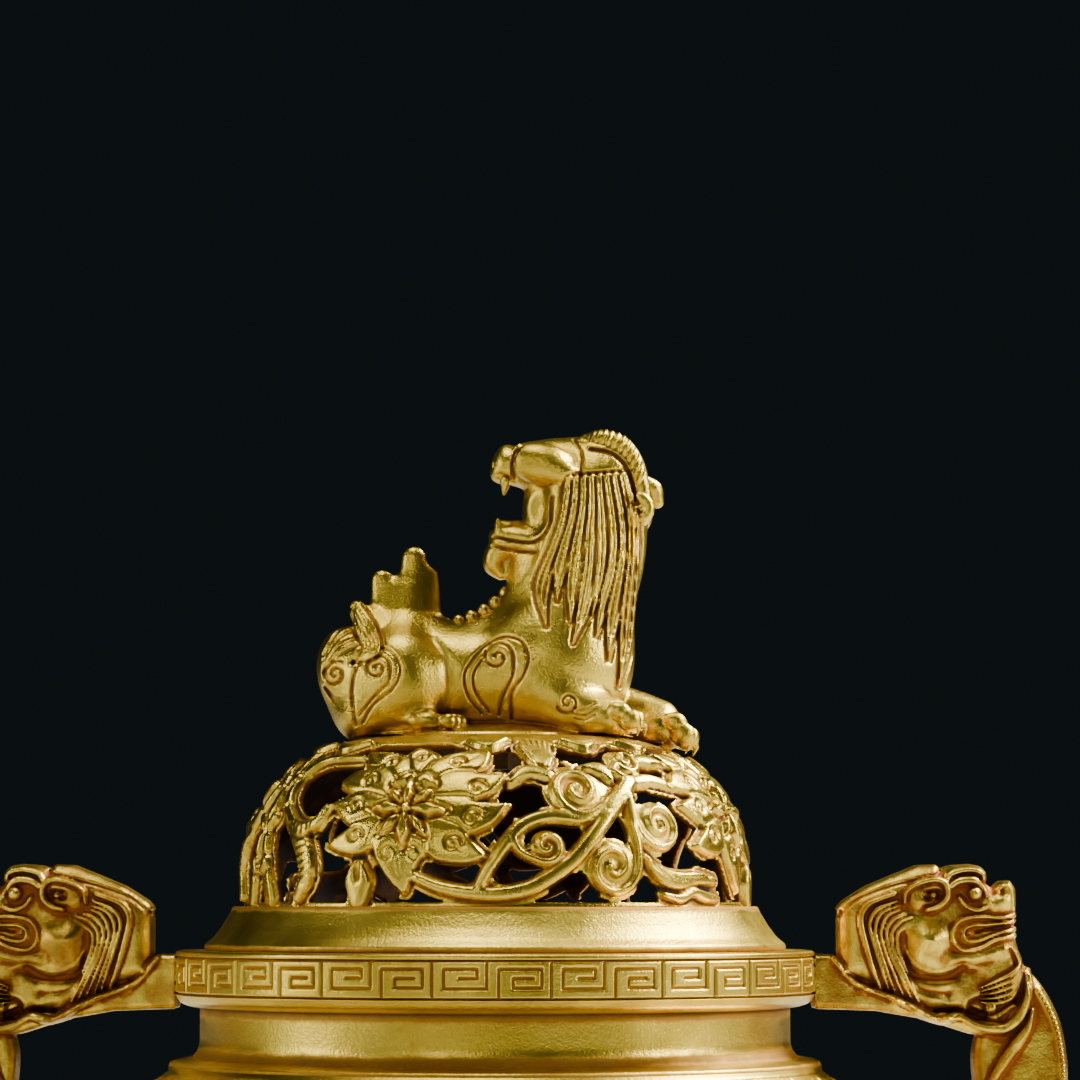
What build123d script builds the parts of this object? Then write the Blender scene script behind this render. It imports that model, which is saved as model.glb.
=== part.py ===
from build123d import *
import os
from math import cos, radians, sin, sqrt

# A standing incense burner in gilt bronze: a tripod bowl with two beast-head handles, a removable
# ash liner, and a lift-off openwork lid whose lion finial is the knob.
# Millimetres, +Z up, +X through the right handle, origin on the table under the middle of the bowl.

# ---- driving dimensions ----
WALL = 2.8                      # cast wall of the bowl
FLOOR_Z = 26.0                  # outside of the bowl's floor
BELLY_R, BELLY_Z = 73.0, 64.0   # widest part of the bowl
SHOULDER_R, SHOULDER_Z = 57.0, 85.0
NECK_R, NECK_BORE_R = 50.7, 46.8
RIM_R, RIM_BORE_R = 55.0, 46.5
RIM_LOW_Z, RIM_TOP_Z = 96.0, 105.5
LEDGE_R, LEDGE_Z = 43.5, 98.5   # inside ledge that the ash liner hangs on
SKIRT_FOOT_R, SKIRT_TOP_R = 50.0, 45.2
SKIRT_COVE_AT = (46.7, 109.6)   # radius and height of the middle of the skirt's hollow
DOME_BASE_Z = 113.0
DOME_R, DOME_BEND_R = 44.2, 24.0
DOME_WALL = 2.4
DOME_BEND_Z = 119.0             # height where the dome starts to turn inwards
DOME_TOP_Z = DOME_BEND_Z + DOME_BEND_R
DOME_FLAT_R = DOME_R - DOME_BEND_R
LINER_R, LINER_WALL, LINER_FLOOR_Z = 42.8, 1.4, 60.5
SLIP = 0.5                      # clearance of parts that lift out
HOLE_CLEARANCE = 0.05           # clearance of fasteners in their holes

LEG_ANGLES = (-90.0, 30.0, 150.0)
LEG_SCREW_R, LEG_SCREW_HEAD_R = 2.0, 3.8
LEG_SCREW_START, LEG_SCREW_WALL, LEG_SCREW_TIP = (52.8, 0, 38.6), (56.0, 0, 35.15), (62.4, 0, 28.25)

HANDLE_ANGLES = {"right": 0, "left": 180}
HEAD_THICK, BODY_THICK, BRACKET_THICK = 17.0, 10.0, 12.0
HANDLE_PIN_R = 1.5
RIM_PIN_Z, RIM_PIN_HALF_GAP = 101.6, 3.2        # a handle's two rim pins lie side by side
RIM_PIN_START, RIM_PIN_END = RIM_BORE_R + 0.2, 62.0
FOOT_PIN_Z = 54.0
FOOT_PIN_START, FOOT_PIN_END = 66.0, 80.0
FOOT_PIN_HEAD_R, FOOT_PIN_HEAD_END = 2.7, 70.0
HOLE_RUN_PAST = 0.02            # how much deeper a blind hole is than the pin in it
FINIAL_SCREW_R, FINIAL_HEAD_R = 2.5, 4.4
WASHER_R, WASHER_THICK = 7.0, 1.0

os.makedirs("parts", exist_ok=True)


def save(shape, node):
    """One STEP for one node."""
    export_step(shape, f"parts/{node}.step")


def turned(*edges):
    """A solid turned about Z from the edges of a closed outline, given as (radius, height)."""
    return revolve(Plane.XZ * make_face(Curve() + list(edges)), Axis.Z, 360)


def ring(outer_r, inner_r, low, high):
    """A plain ring about Z."""
    height = high - low
    blank = Cylinder(outer_r, height) - Cylinder(inner_r, height + 2)
    return Pos(0, 0, low + height / 2) * blank


def rod(start, end, radius):
    """A round bar from one point to another."""
    path = Vector(*end) - Vector(*start)
    plane = Plane(origin=Vector(*start), z_dir=path)
    return extrude(plane * Circle(radius), path.length)


def taper(start, end, start_r, end_r):
    """A round bar whose radius changes evenly between two points."""
    path = Vector(*end) - Vector(*start)
    plane = Plane(origin=Vector(*start), z_dir=path)
    cone = Cone(start_r, end_r, path.length, align=(Align.CENTER, Align.CENTER, Align.MIN))
    return plane.location * cone


def loft_along_z(stations):
    """A smooth body from (z, x, y, half_x, half_y) ellipses, lowest first."""
    return loft([Pos(x, y, z) * Ellipse(half_x, half_y) for z, x, y, half_x, half_y in stations])


def loft_along_x(stations):
    """A smooth body from (x, y, z, half_y, half_z) ellipses, in order along X."""
    return loft([Plane(origin=(x, y, z), x_dir=(0, 1, 0), z_dir=(1, 0, 0)) * Ellipse(half_y, half_z)
                 for x, y, z, half_y, half_z in stations])


def side_plate(points, thickness):
    """A plate in the XZ plane, centred on Y = 0, from corner points given as (x, z)."""
    face = make_face(Polyline(*points, close=True))
    return extrude(Plane.XZ * face, thickness / 2, both=True)


def around(shape, angle):
    """The shape turned about Z."""
    return Rot(0, 0, angle) * shape


# ---- bowl: a squat globe that the neck, handles and legs join ----
def bowl_side(inset):
    """The bowl's side from floor to shoulder, moved inwards by inset."""
    return Spline(
        (38 - inset * 0.3, FLOOR_Z + inset),
        (62 - inset * 0.75, 39 + inset * 0.65),
        (BELLY_R - inset, BELLY_Z),
        (SHOULDER_R - inset * 0.8, SHOULDER_Z - inset * 0.6),
        tangents=[(1, 0.15), (-1, 0.55)],
    )


def make_bowl():
    outside, inside = bowl_side(0), bowl_side(WALL)
    top = SHOULDER_Z + 1.0
    return turned(
        Line((0, FLOOR_Z), outside @ 0),
        outside,
        Line(outside @ 1, (SHOULDER_R, top)),
        Line((SHOULDER_R, top), (NECK_BORE_R, top)),
        Line((NECK_BORE_R, top), inside @ 1),
        inside,
        Line(inside @ 0, (0, FLOOR_Z + WALL)),
        Line((0, FLOOR_Z + WALL), (0, FLOOR_Z)),
    )


def bowl_envelope():
    """The bowl without its hollow, to fit the legs and handles against its outside."""
    outside = bowl_side(0)
    return turned(
        Line((0, FLOOR_Z), outside @ 0),
        outside,
        Line(outside @ 1, (0, SHOULDER_Z)),
        Line((0, SHOULDER_Z), (0, FLOOR_Z)),
    )


# ---- neck and mouth ----
def make_neck():
    foot = SHOULDER_Z + 1.0
    cove = ThreePointArc((SHOULDER_R - 1.0, foot), (NECK_R + 0.9, foot + 1.2), (NECK_R, foot + 4.0))
    return turned(
        Line((NECK_BORE_R, foot), cove @ 0),
        cove,
        Line(cove @ 1, (NECK_R, RIM_LOW_Z)),
        Line((NECK_R, RIM_LOW_Z), (NECK_BORE_R, RIM_LOW_Z)),
        Line((NECK_BORE_R, RIM_LOW_Z), (NECK_BORE_R, foot)),
    )


def rim_pin(radius, end=RIM_PIN_END):
    """One handle's two rim pins, or with a larger radius their holes."""
    start = RIM_PIN_START
    places = (-RIM_PIN_HALF_GAP, RIM_PIN_HALF_GAP)
    return [rod((start, y, RIM_PIN_Z), (end, y, RIM_PIN_Z), radius) for y in places]


def make_mouth_rim():
    lip = ThreePointArc((NECK_R, RIM_LOW_Z), (RIM_R - 1.2, RIM_LOW_Z + 0.7), (RIM_R, RIM_LOW_Z + 2.6))
    rim = turned(
        Line((LEDGE_R, RIM_LOW_Z), lip @ 0),
        lip,
        Line(lip @ 1, (RIM_R, RIM_TOP_Z)),
        Line((RIM_R, RIM_TOP_Z), (RIM_BORE_R, RIM_TOP_Z)),
        Line((RIM_BORE_R, RIM_TOP_Z), (RIM_BORE_R, LEDGE_Z)),
        Line((RIM_BORE_R, LEDGE_Z), (LEDGE_R, LEDGE_Z)),
        Line((LEDGE_R, LEDGE_Z), (LEDGE_R, RIM_LOW_Z)),
    )
    for angle in HANDLE_ANGLES.values():
        for hole in rim_pin(HANDLE_PIN_R + HOLE_CLEARANCE):
            rim -= around(hole, angle)
    return rim


# ---- ash liner: a thin cup hung on the ledge, which holds the ash and the incense ----
def make_liner():
    flange_r = RIM_BORE_R - SLIP
    flange_top = LEDGE_Z + LINER_WALL
    inner_r = LINER_R - LINER_WALL
    corner = 6.0
    outer_turn = ThreePointArc(
        (LINER_R - corner, LINER_FLOOR_Z),
        (LINER_R - corner * (1 - sqrt(0.5)), LINER_FLOOR_Z + corner * (1 - sqrt(0.5))),
        (LINER_R, LINER_FLOOR_Z + corner),
    )
    small = corner - LINER_WALL
    inner_turn = ThreePointArc(
        (inner_r, LINER_FLOOR_Z + corner),
        (inner_r - small * (1 - sqrt(0.5)), LINER_FLOOR_Z + corner - small * sqrt(0.5)),
        (inner_r - small, LINER_FLOOR_Z + LINER_WALL),
    )
    return turned(
        Line((0, LINER_FLOOR_Z), outer_turn @ 0),
        outer_turn,
        Line(outer_turn @ 1, (LINER_R, LEDGE_Z)),
        Line((LINER_R, LEDGE_Z), (flange_r, LEDGE_Z)),
        Line((flange_r, LEDGE_Z), (flange_r, flange_top)),
        Line((flange_r, flange_top), (inner_r, flange_top)),
        Line((inner_r, flange_top), inner_turn @ 0),
        inner_turn,
        Line(inner_turn @ 1, (0, LINER_FLOOR_Z + LINER_WALL)),
        Line((0, LINER_FLOOR_Z + LINER_WALL), (0, LINER_FLOOR_Z)),
    )


# ---- lid: skirt, locating ring and openwork dome ----
def make_skirt():
    cove = ThreePointArc((SKIRT_FOOT_R, RIM_TOP_Z + 1.0), SKIRT_COVE_AT, (SKIRT_TOP_R, DOME_BASE_Z))
    bore_r = DOME_R - DOME_WALL
    return turned(
        Line((bore_r, RIM_TOP_Z), (SKIRT_FOOT_R, RIM_TOP_Z)),
        Line((SKIRT_FOOT_R, RIM_TOP_Z), cove @ 0),
        cove,
        Line(cove @ 1, (bore_r, DOME_BASE_Z)),
        Line((bore_r, DOME_BASE_Z), (bore_r, RIM_TOP_Z)),
    )


def make_locating_ring():
    """The ring that drops inside the mouth rim and keeps the lid central, standing clear of the liner."""
    liner_top = LEDGE_Z + LINER_WALL
    return ring(RIM_BORE_R - SLIP, DOME_R - DOME_WALL + 1.2, liner_top + 1.0, RIM_TOP_Z)


def dome_outline(inset):
    """The dome's side and bend, moved inwards by inset, from its foot to its flat top."""
    radius = DOME_BEND_R - inset
    wall_r = DOME_R - inset
    middle = (DOME_FLAT_R + radius * sqrt(0.5), DOME_BEND_Z + radius * sqrt(0.5))
    side = Line((wall_r, DOME_BASE_Z), (wall_r, DOME_BEND_Z))
    bend = ThreePointArc((wall_r, DOME_BEND_Z), middle, (DOME_FLAT_R, DOME_BEND_Z + radius))
    return side, bend


def dome_envelope():
    """The dome without its hollow, reaching below it, to fit the finial against its top."""
    side, bend = dome_outline(0)
    low = DOME_BASE_Z - 20
    return turned(
        Line((0, low), (DOME_R, low)),
        Line((DOME_R, low), side @ 0),
        side,
        bend,
        Line(bend @ 1, (0, DOME_TOP_Z)),
        Line((0, DOME_TOP_Z), (0, low)),
    )


# Smoke vents of one flower-and-scroll bay: (degrees from the flower, height, half width, half height)
BAY_VENTS = (
    (-23.0, 133.0, 4.4, 3.6),
    (-17.0, 125.6, 3.2, 1.8),
    (-15.6, 118.0, 2.6, 3.0),
    (-4.0, 117.4, 2.6, 3.2),
    (11.0, 118.2, 4.2, 1.9),
    (26.0, 131.8, 3.4, 3.6),
    (24.5, 119.2, 4.2, 2.3),
    (35.0, 125.6, 3.6, 2.0),
    (37.0, 116.0, 3.2, 1.7),
    (48.0, 123.4, 2.3, 3.6),
    (58.5, 118.6, 3.2, 2.4),
)
FLOWER_ANGLES = (-110.0, -20.0, 70.0, 160.0)
VENT_START_R, VENT_CUT_LENGTH = 22.0, 30.0
VENT_TILT_PER_MM = 2.4          # degrees the vents turn upwards for each mm above the dome's bend


def make_dome():
    outer_side, outer_bend = dome_outline(0)
    inner_side, inner_bend = dome_outline(DOME_WALL)
    shell = turned(
        outer_side,
        outer_bend,
        Line(outer_bend @ 1, (0, DOME_TOP_Z)),
        Line((0, DOME_TOP_Z), (0, DOME_TOP_Z - DOME_WALL)),
        Line((0, DOME_TOP_Z - DOME_WALL), inner_bend @ 1),
        inner_bend,
        inner_side,
        Line(inner_side @ 0, outer_side @ 0),
    )
    cutters = []
    for flower in FLOWER_ANGLES:
        for offset, height, half_width, half_height in BAY_VENTS:
            rise = radians(max(0.0, (height - DOME_BEND_Z) * VENT_TILT_PER_MM))
            start_z = height - VENT_START_R * sin(rise) * 0.35
            axis = (cos(rise), 0, sin(rise))
            plane = Plane(origin=(VENT_START_R, 0, start_z), x_dir=(0, 1, 0), z_dir=axis)
            vent = extrude(plane * Ellipse(half_width, half_height), VENT_CUT_LENGTH)
            cutters.append(around(vent, flower + offset))
    shell -= cutters
    return shell - Pos(0, 0, DOME_TOP_Z) * Cylinder(FINIAL_SCREW_R + HOLE_CLEARANCE, 4 * DOME_WALL)


# ---- finial: a lion lying along X, chest to the right, head turned back over its spine ----
PLINTH_TOP_Z = DOME_TOP_Z + 2.0
TRUNK = (                       # (x, y, z, half_y, half_z), from rump to chest
    (-26.0, 0, 152.0, 7.0, 6.0),
    (-20.0, 0, 151.5, 12.5, 9.5),
    (-11.0, 0, 152.0, 14.5, 11.0),
    (-1.0, 0, 151.5, 12.5, 10.8),
    (9.0, 0, 152.0, 12.5, 11.0),
    (17.0, 0, 152.0, 11.0, 10.0),
    (21.5, 0, 151.5, 7.5, 7.0),
)
NECK_AND_CROWN = (              # (z, x, y, half_x, half_y), from chest to crown
    (146.0, 9.0, 0, 12.5, 11.0),
    (156.0, 10.5, 0, 13.0, 12.2),
    (166.0, 12.3, 0, 11.8, 11.6),
    (175.0, 15.5, 0, 10.6, 11.0),
    (184.0, 17.7, 0, 9.8, 10.4),
    (190.0, 16.5, 0, 9.2, 9.0),
    (195.6, 16.0, 0, 4.5, 3.6),
)
UPPER_JAW = (
    (-0.8, 0, 188.6, 3.4, 2.2),
    (2.5, 0, 189.0, 6.2, 3.8),
    (8.0, 0, 189.2, 7.8, 4.6),
    (16.0, 0, 188.0, 8.0, 5.0),
)
LOWER_JAW = (
    (-1.0, 0, 178.0, 3.6, 1.8),
    (3.0, 0, 177.2, 5.6, 3.0),
    (8.0, 0, 175.6, 6.6, 3.6),
    (15.0, 0, 174.5, 7.0, 4.5),
)
NEAR_FORELEG = (
    (6.0, -8.6, 147.0, 4.0, 4.2),
    (15.0, -9.4, 146.8, 4.6, 4.4),
    (21.0, -9.6, 145.5, 4.8, 4.0),
    (26.0, -9.2, 144.0, 3.4, 3.0),
)
FAR_FORELEG = (
    (8.0, 7.6, 147.5, 4.0, 4.2),
    (19.0, 7.4, 147.0, 4.8, 4.4),
    (29.0, 6.6, 143.8, 5.2, 4.2),
    (36.3, 6.0, 140.4, 3.0, 2.6),
)
PLUME = (                       # (z, x, y, half_x, half_y), from the rump up to the middle tip
    (156.0, -16.0, 0, 7.5, 4.5),
    (163.0, -15.5, 0, 6.8, 3.6),
    (169.0, -14.5, 0, 4.6, 2.8),
    (175.6, -13.6, 0, 1.7, 1.5),
)
TAIL_BALL_R, TAIL_BALL_AT = 8.8, (-22.4, 0, 154.0)


def make_lion():
    plinth = Pos(2, 0, DOME_TOP_Z - 3) * extrude(Ellipse(27, 15.5), PLINTH_TOP_Z - DOME_TOP_Z + 3)
    tail_ball = Pos(*TAIL_BALL_AT) * Sphere(TAIL_BALL_R)
    outer_tips = [
        taper((-16, 0, 160), (-20.2, 0, 171.4), 3.4, 1.3),
        taper((-13, 0, 161), (-11.2, 0, 171.4), 3.0, 1.3),
    ]
    lion = plinth + [
        loft_along_x(TRUNK), loft_along_z(NECK_AND_CROWN), loft_along_x(UPPER_JAW),
        loft_along_x(LOWER_JAW), loft_along_x(NEAR_FORELEG), loft_along_x(FAR_FORELEG),
        loft_along_z(PLUME), tail_ball, *outer_tips,
    ]
    lion -= dome_envelope()
    depth = 10.0
    tapped_hole = Pos(0, 0, DOME_TOP_Z + depth / 2) * Cylinder(FINIAL_SCREW_R + HOLE_CLEARANCE, depth)
    return lion - tapped_hole


def make_finial_screw():
    head_top = DOME_TOP_Z - DOME_WALL - WASHER_THICK
    head_height = 3.0
    head = extrude(Plane.XY.offset(head_top - head_height) * RegularPolygon(FINIAL_HEAD_R, 6), head_height)
    return head + rod((0, 0, head_top), (0, 0, DOME_TOP_Z + 9), FINIAL_SCREW_R)


def make_finial_washer():
    top = DOME_TOP_Z - DOME_WALL
    return ring(WASHER_R, FINIAL_SCREW_R + HOLE_CLEARANCE, top - WASHER_THICK, top)


# ---- handles: a beast's head on a bracket at the rim, its body curving down to the belly ----
HEAD_OUTLINE = (
    (59.2, 104.0), (59.2, 113.0), (61.6, 115.6), (67.7, 118.7), (75.5, 120.5), (83.3, 120.0),
    (84.9, 118.0), (85.6, 116.2), (87.6, 117.6), (89.4, 116.0), (89.6, 107.5), (88.0, 100.0),
    (83.0, 94.0), (70.0, 96.0),
)
BRACKET_OUTLINE = (
    (50, 95.6), (63.3, 95.3), (71.2, 93.3), (78.1, 91.3), (83.5, 90.7), (84.5, 96.0),
    (70.0, 100.0), (60.5, 103.5), (58.0, 105.2), (50, 105.2),
)
HEAD_PLAN = (                   # (x, half width) of the head seen from above, from its nape to its muzzle
    (66, HEAD_THICK / 2),
    (82, HEAD_THICK / 2 - 1.5),
    (91, 2.5),
)
FOOT_SCROLL_AT, FOOT_SCROLL_R = (88.5, 0, 57.5), 5.0


def handle_body_face():
    """The curved body under the head, as a face in the XZ plane."""
    outer = Spline((88.5, 104.0), (94.7, 98.2), (98.3, 84.0), (94.5, 66.0), (84.0, 53.5), (66.0, 47.0))
    inner = Spline((66.0, 60.5), (78.0, 63.0), (82.2, 73.0), (82.0, 86.0), (83.5, 90.7))
    return make_face(
        outer + Line(outer @ 1, inner @ 0) + inner + Line(inner @ 1, (80.0, 97.0))
        + Line((80.0, 97.0), outer @ 0)
    )


def handle_head():
    """The head: its side outline cut to its outline from above."""
    one_side = list(HEAD_PLAN)
    other_side = [(x, -half) for x, half in reversed(HEAD_PLAN)]
    plan = make_face(Spline((56, 0), *one_side, *other_side, periodic=True))
    return side_plate(HEAD_OUTLINE, HEAD_THICK) & Pos(0, 0, 85) * extrude(plan, 40)


def make_handle():
    body = extrude(Plane.XZ * handle_body_face(), BODY_THICK / 2, both=True)
    foot_scroll = Pos(*FOOT_SCROLL_AT) * Rot(90, 0, 0) * Cylinder(FOOT_SCROLL_R, BODY_THICK)
    handle = side_plate(BRACKET_OUTLINE, BRACKET_THICK) + body + handle_head() + foot_scroll
    handle -= bowl_envelope()
    handle -= Pos(0, 0, 100) * Cylinder(RIM_R, 30)
    for hole in rim_pin(HANDLE_PIN_R + HOLE_CLEARANCE, RIM_PIN_END + HOLE_RUN_PAST):
        handle -= hole
    return handle - foot_pin(HANDLE_PIN_R + HOLE_CLEARANCE, FOOT_PIN_END + HOLE_RUN_PAST)


def make_rim_pins(angle):
    """The two flush pins that hold one handle's bracket to the mouth rim."""
    return Compound(children=[around(pin, angle) for pin in rim_pin(HANDLE_PIN_R)])


def foot_pin(radius, end=FOOT_PIN_END):
    """The bar of the rivet that holds a handle's lower end, or with a larger radius its hole."""
    return rod((FOOT_PIN_START, 0, FOOT_PIN_Z), (end, 0, FOOT_PIN_Z), radius)


def make_foot_rivets(bowl):
    """The two headed rivets that hold the handles' lower ends, put in from inside the bowl."""
    shank = foot_pin(HANDLE_PIN_R)
    head = foot_pin(FOOT_PIN_HEAD_R, FOOT_PIN_HEAD_END)
    angles = HANDLE_ANGLES.values()
    return Compound(children=[around(head, angle) - bowl + around(shank, angle) for angle in angles])


# ---- legs: three cabriole legs with paw feet ----
LEG_R = 58.0                    # distance of each sole from the middle
SOLE_R = 8.2
LEG_STATIONS = (                # (z, x, y, half_x, half_y), from the sole up
    (0.0, LEG_R, 0, SOLE_R, SOLE_R),
    (4.5, LEG_R, 0, SOLE_R + 0.3, SOLE_R + 0.3),
    (11.0, 56.8, 0, 5.6, 5.6),
    (20.0, 58.4, 0, 5.8, 6.2),
    (30.0, 60.4, 0, 7.8, 9.0),
    (39.0, 60.6, 0, 8.6, 10.2),
    (48.0, 60.0, 0, 7.6, 8.4),
    (52.0, 59.0, 0, 5.6, 6.0),
)


def make_leg():
    leg = loft_along_z(LEG_STATIONS) - bowl_envelope()
    return leg - rod(LEG_SCREW_START, LEG_SCREW_TIP, LEG_SCREW_R + HOLE_CLEARANCE)


def make_leg_screws(bowl):
    """The three screws that hold the legs, put in from inside the bowl, with heads bedded on its wall."""
    shank = rod(LEG_SCREW_START, LEG_SCREW_TIP, LEG_SCREW_R)
    head = rod(LEG_SCREW_START, LEG_SCREW_WALL, LEG_SCREW_HEAD_R)
    return Compound(children=[around(head, angle) - bowl + around(shank, angle) for angle in LEG_ANGLES])


def make_drilled_bowl():
    """The bowl with holes for the leg screws and the handles' rivets."""
    bowl = make_bowl()
    for angle in LEG_ANGLES:
        bowl -= around(rod(LEG_SCREW_START, LEG_SCREW_TIP, LEG_SCREW_R + HOLE_CLEARANCE), angle)
    for angle in HANDLE_ANGLES.values():
        bowl -= around(foot_pin(HANDLE_PIN_R + HOLE_CLEARANCE), angle)
    return bowl


bowl = make_drilled_bowl()
save(bowl, "vessel_bowl")
save(make_neck(), "neck_ring")
save(make_mouth_rim(), "mouth_rim")
save(make_liner(), "ash_liner")
save(make_skirt(), "lid_skirt")
save(make_locating_ring(), "lid_locating_ring")
save(make_dome(), "lid_dome")
save(make_lion(), "finial_lion")
save(make_finial_screw(), "finial_screw")
save(make_finial_washer(), "finial_washer")

handle = make_handle()
for side, angle in HANDLE_ANGLES.items():
    save(around(handle, angle), f"handle_{side}")
    save(make_rim_pins(angle), f"rim_pins_{side}")
save(make_foot_rivets(bowl), "handle_foot_rivets")

leg = make_leg()
for name, angle in zip(("leg_front", "leg_back_right", "leg_back_left"), LEG_ANGLES):
    save(around(leg, angle), name)
save(make_leg_screws(bowl), "leg_screws")
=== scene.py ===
from math import cos, pi, radians, sin

import bpy
import numpy as np
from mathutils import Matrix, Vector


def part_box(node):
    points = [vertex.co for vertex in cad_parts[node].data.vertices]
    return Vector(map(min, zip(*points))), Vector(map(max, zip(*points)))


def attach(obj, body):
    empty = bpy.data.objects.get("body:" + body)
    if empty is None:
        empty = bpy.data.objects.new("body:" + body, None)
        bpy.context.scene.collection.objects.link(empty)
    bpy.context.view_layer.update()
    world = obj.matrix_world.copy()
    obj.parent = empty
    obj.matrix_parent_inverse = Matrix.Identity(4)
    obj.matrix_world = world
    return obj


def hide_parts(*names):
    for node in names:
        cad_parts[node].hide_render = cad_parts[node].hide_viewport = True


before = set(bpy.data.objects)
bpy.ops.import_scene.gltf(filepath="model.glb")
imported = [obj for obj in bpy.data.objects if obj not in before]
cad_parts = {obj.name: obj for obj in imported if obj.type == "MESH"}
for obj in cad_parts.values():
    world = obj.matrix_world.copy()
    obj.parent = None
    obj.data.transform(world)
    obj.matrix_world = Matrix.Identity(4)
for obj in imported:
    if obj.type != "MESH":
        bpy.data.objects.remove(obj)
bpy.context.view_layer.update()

import openvdb
from mathutils import Vector

bl_info = {
    "name": "Standing incense burner",
    "version": (1, 0, 0),
    "blender": (4, 5, 0),
    "location": "View3D > Sidebar > Censer",
    "description": "Builds a gilt bronze tripod incense burner with an openwork lid and a lion knob",
    "category": "Add Mesh",
}

MM = 0.001                      # shapes are worked out in millimetres; lights and camera are in metres
FAR = 99.0                      # stands for "nowhere near", in millimetres
EMPTY = 4.0                     # value of a block of clay before anything is pressed into it
PANEL_TAB = "Censer"


# ---- places, taken from the fixed frame ----
class Span:
    """The box of one CAD node, in millimetres."""

    def __init__(self, node):
        low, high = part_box(node)
        self.low = Vector(low) / MM
        self.high = Vector(high) / MM
        self.r = self.high.x
        self.base = self.low.z
        self.top = self.high.z


BOWL = Span("vessel_bowl")
NECK = Span("neck_ring")
RIM = Span("mouth_rim")
LINER = Span("ash_liner")
SKIRT = Span("lid_skirt")
SEAT = Span("lid_locating_ring")
DOME = Span("lid_dome")
HANDLE = Span("handle_right")

DOME_BEND = 24.0                # radius of the bend between the dome's wall and its flat top
DOME_BEND_Z = DOME.top - DOME_BEND
DOME_FLAT_R = DOME.r - DOME_BEND
DOME_WALL = 2.4


# ---- lines ----
def through(points, steps=6):
    """A smooth line through a few points, as an array of closely spaced points."""
    knots = np.array(points, float)
    before = 2 * knots[:1] - knots[1:2]
    after = 2 * knots[-1:] - knots[-2:-1]
    p = np.vstack([before, knots, after])
    t = np.linspace(0, 1, steps, endpoint=False)[:, None]
    runs = []
    for a, b, c, d in zip(p, p[1:], p[2:], p[3:]):
        bend = (2 * a - 5 * b + 4 * c - d) * t**2 + (3 * b - a - 3 * c + d) * t**3
        runs.append(0.5 * (2 * b + (c - a) * t + bend))
    return np.vstack([*runs, knots[-1:]])


def coil(centre, radius, start, turns, tail=(), tightness=0.12):
    """A scroll: an optional tail of points, then a spiral closing on its centre. Angles are in degrees."""
    t = np.linspace(0, 1, int(14 * abs(turns)) + 4)
    angle = np.radians(start) + 2 * pi * turns * t
    r = radius * (1 - (1 - tightness) * t)
    ring = np.stack([centre[0] + r * np.cos(angle), centre[1] + r * np.sin(angle)], axis=1)
    if not len(tail):
        return ring
    return np.vstack([through([*tail, tuple(ring[0])])[:-1], ring])


def moved(points, du, flip=1.0):
    """Points shifted along the girth, and first mirrored when flip is -1."""
    return np.array(points, float) * (flip, 1) + (du, 0.0)


def spot(u, v):
    """A line without length, which draws as a round dot."""
    return [(u, v), (u, v)]


def spread_along(count, values):
    """A few values spread evenly along a line of count points."""
    return np.interp(np.linspace(0, 1, count), np.linspace(0, 1, len(values)), values)


def soft_step(x):
    """0 below 0 and 1 above 1, with a smooth rise between."""
    x = np.clip(x, 0, 1)
    return x * x * (3 - 2 * x)


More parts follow.
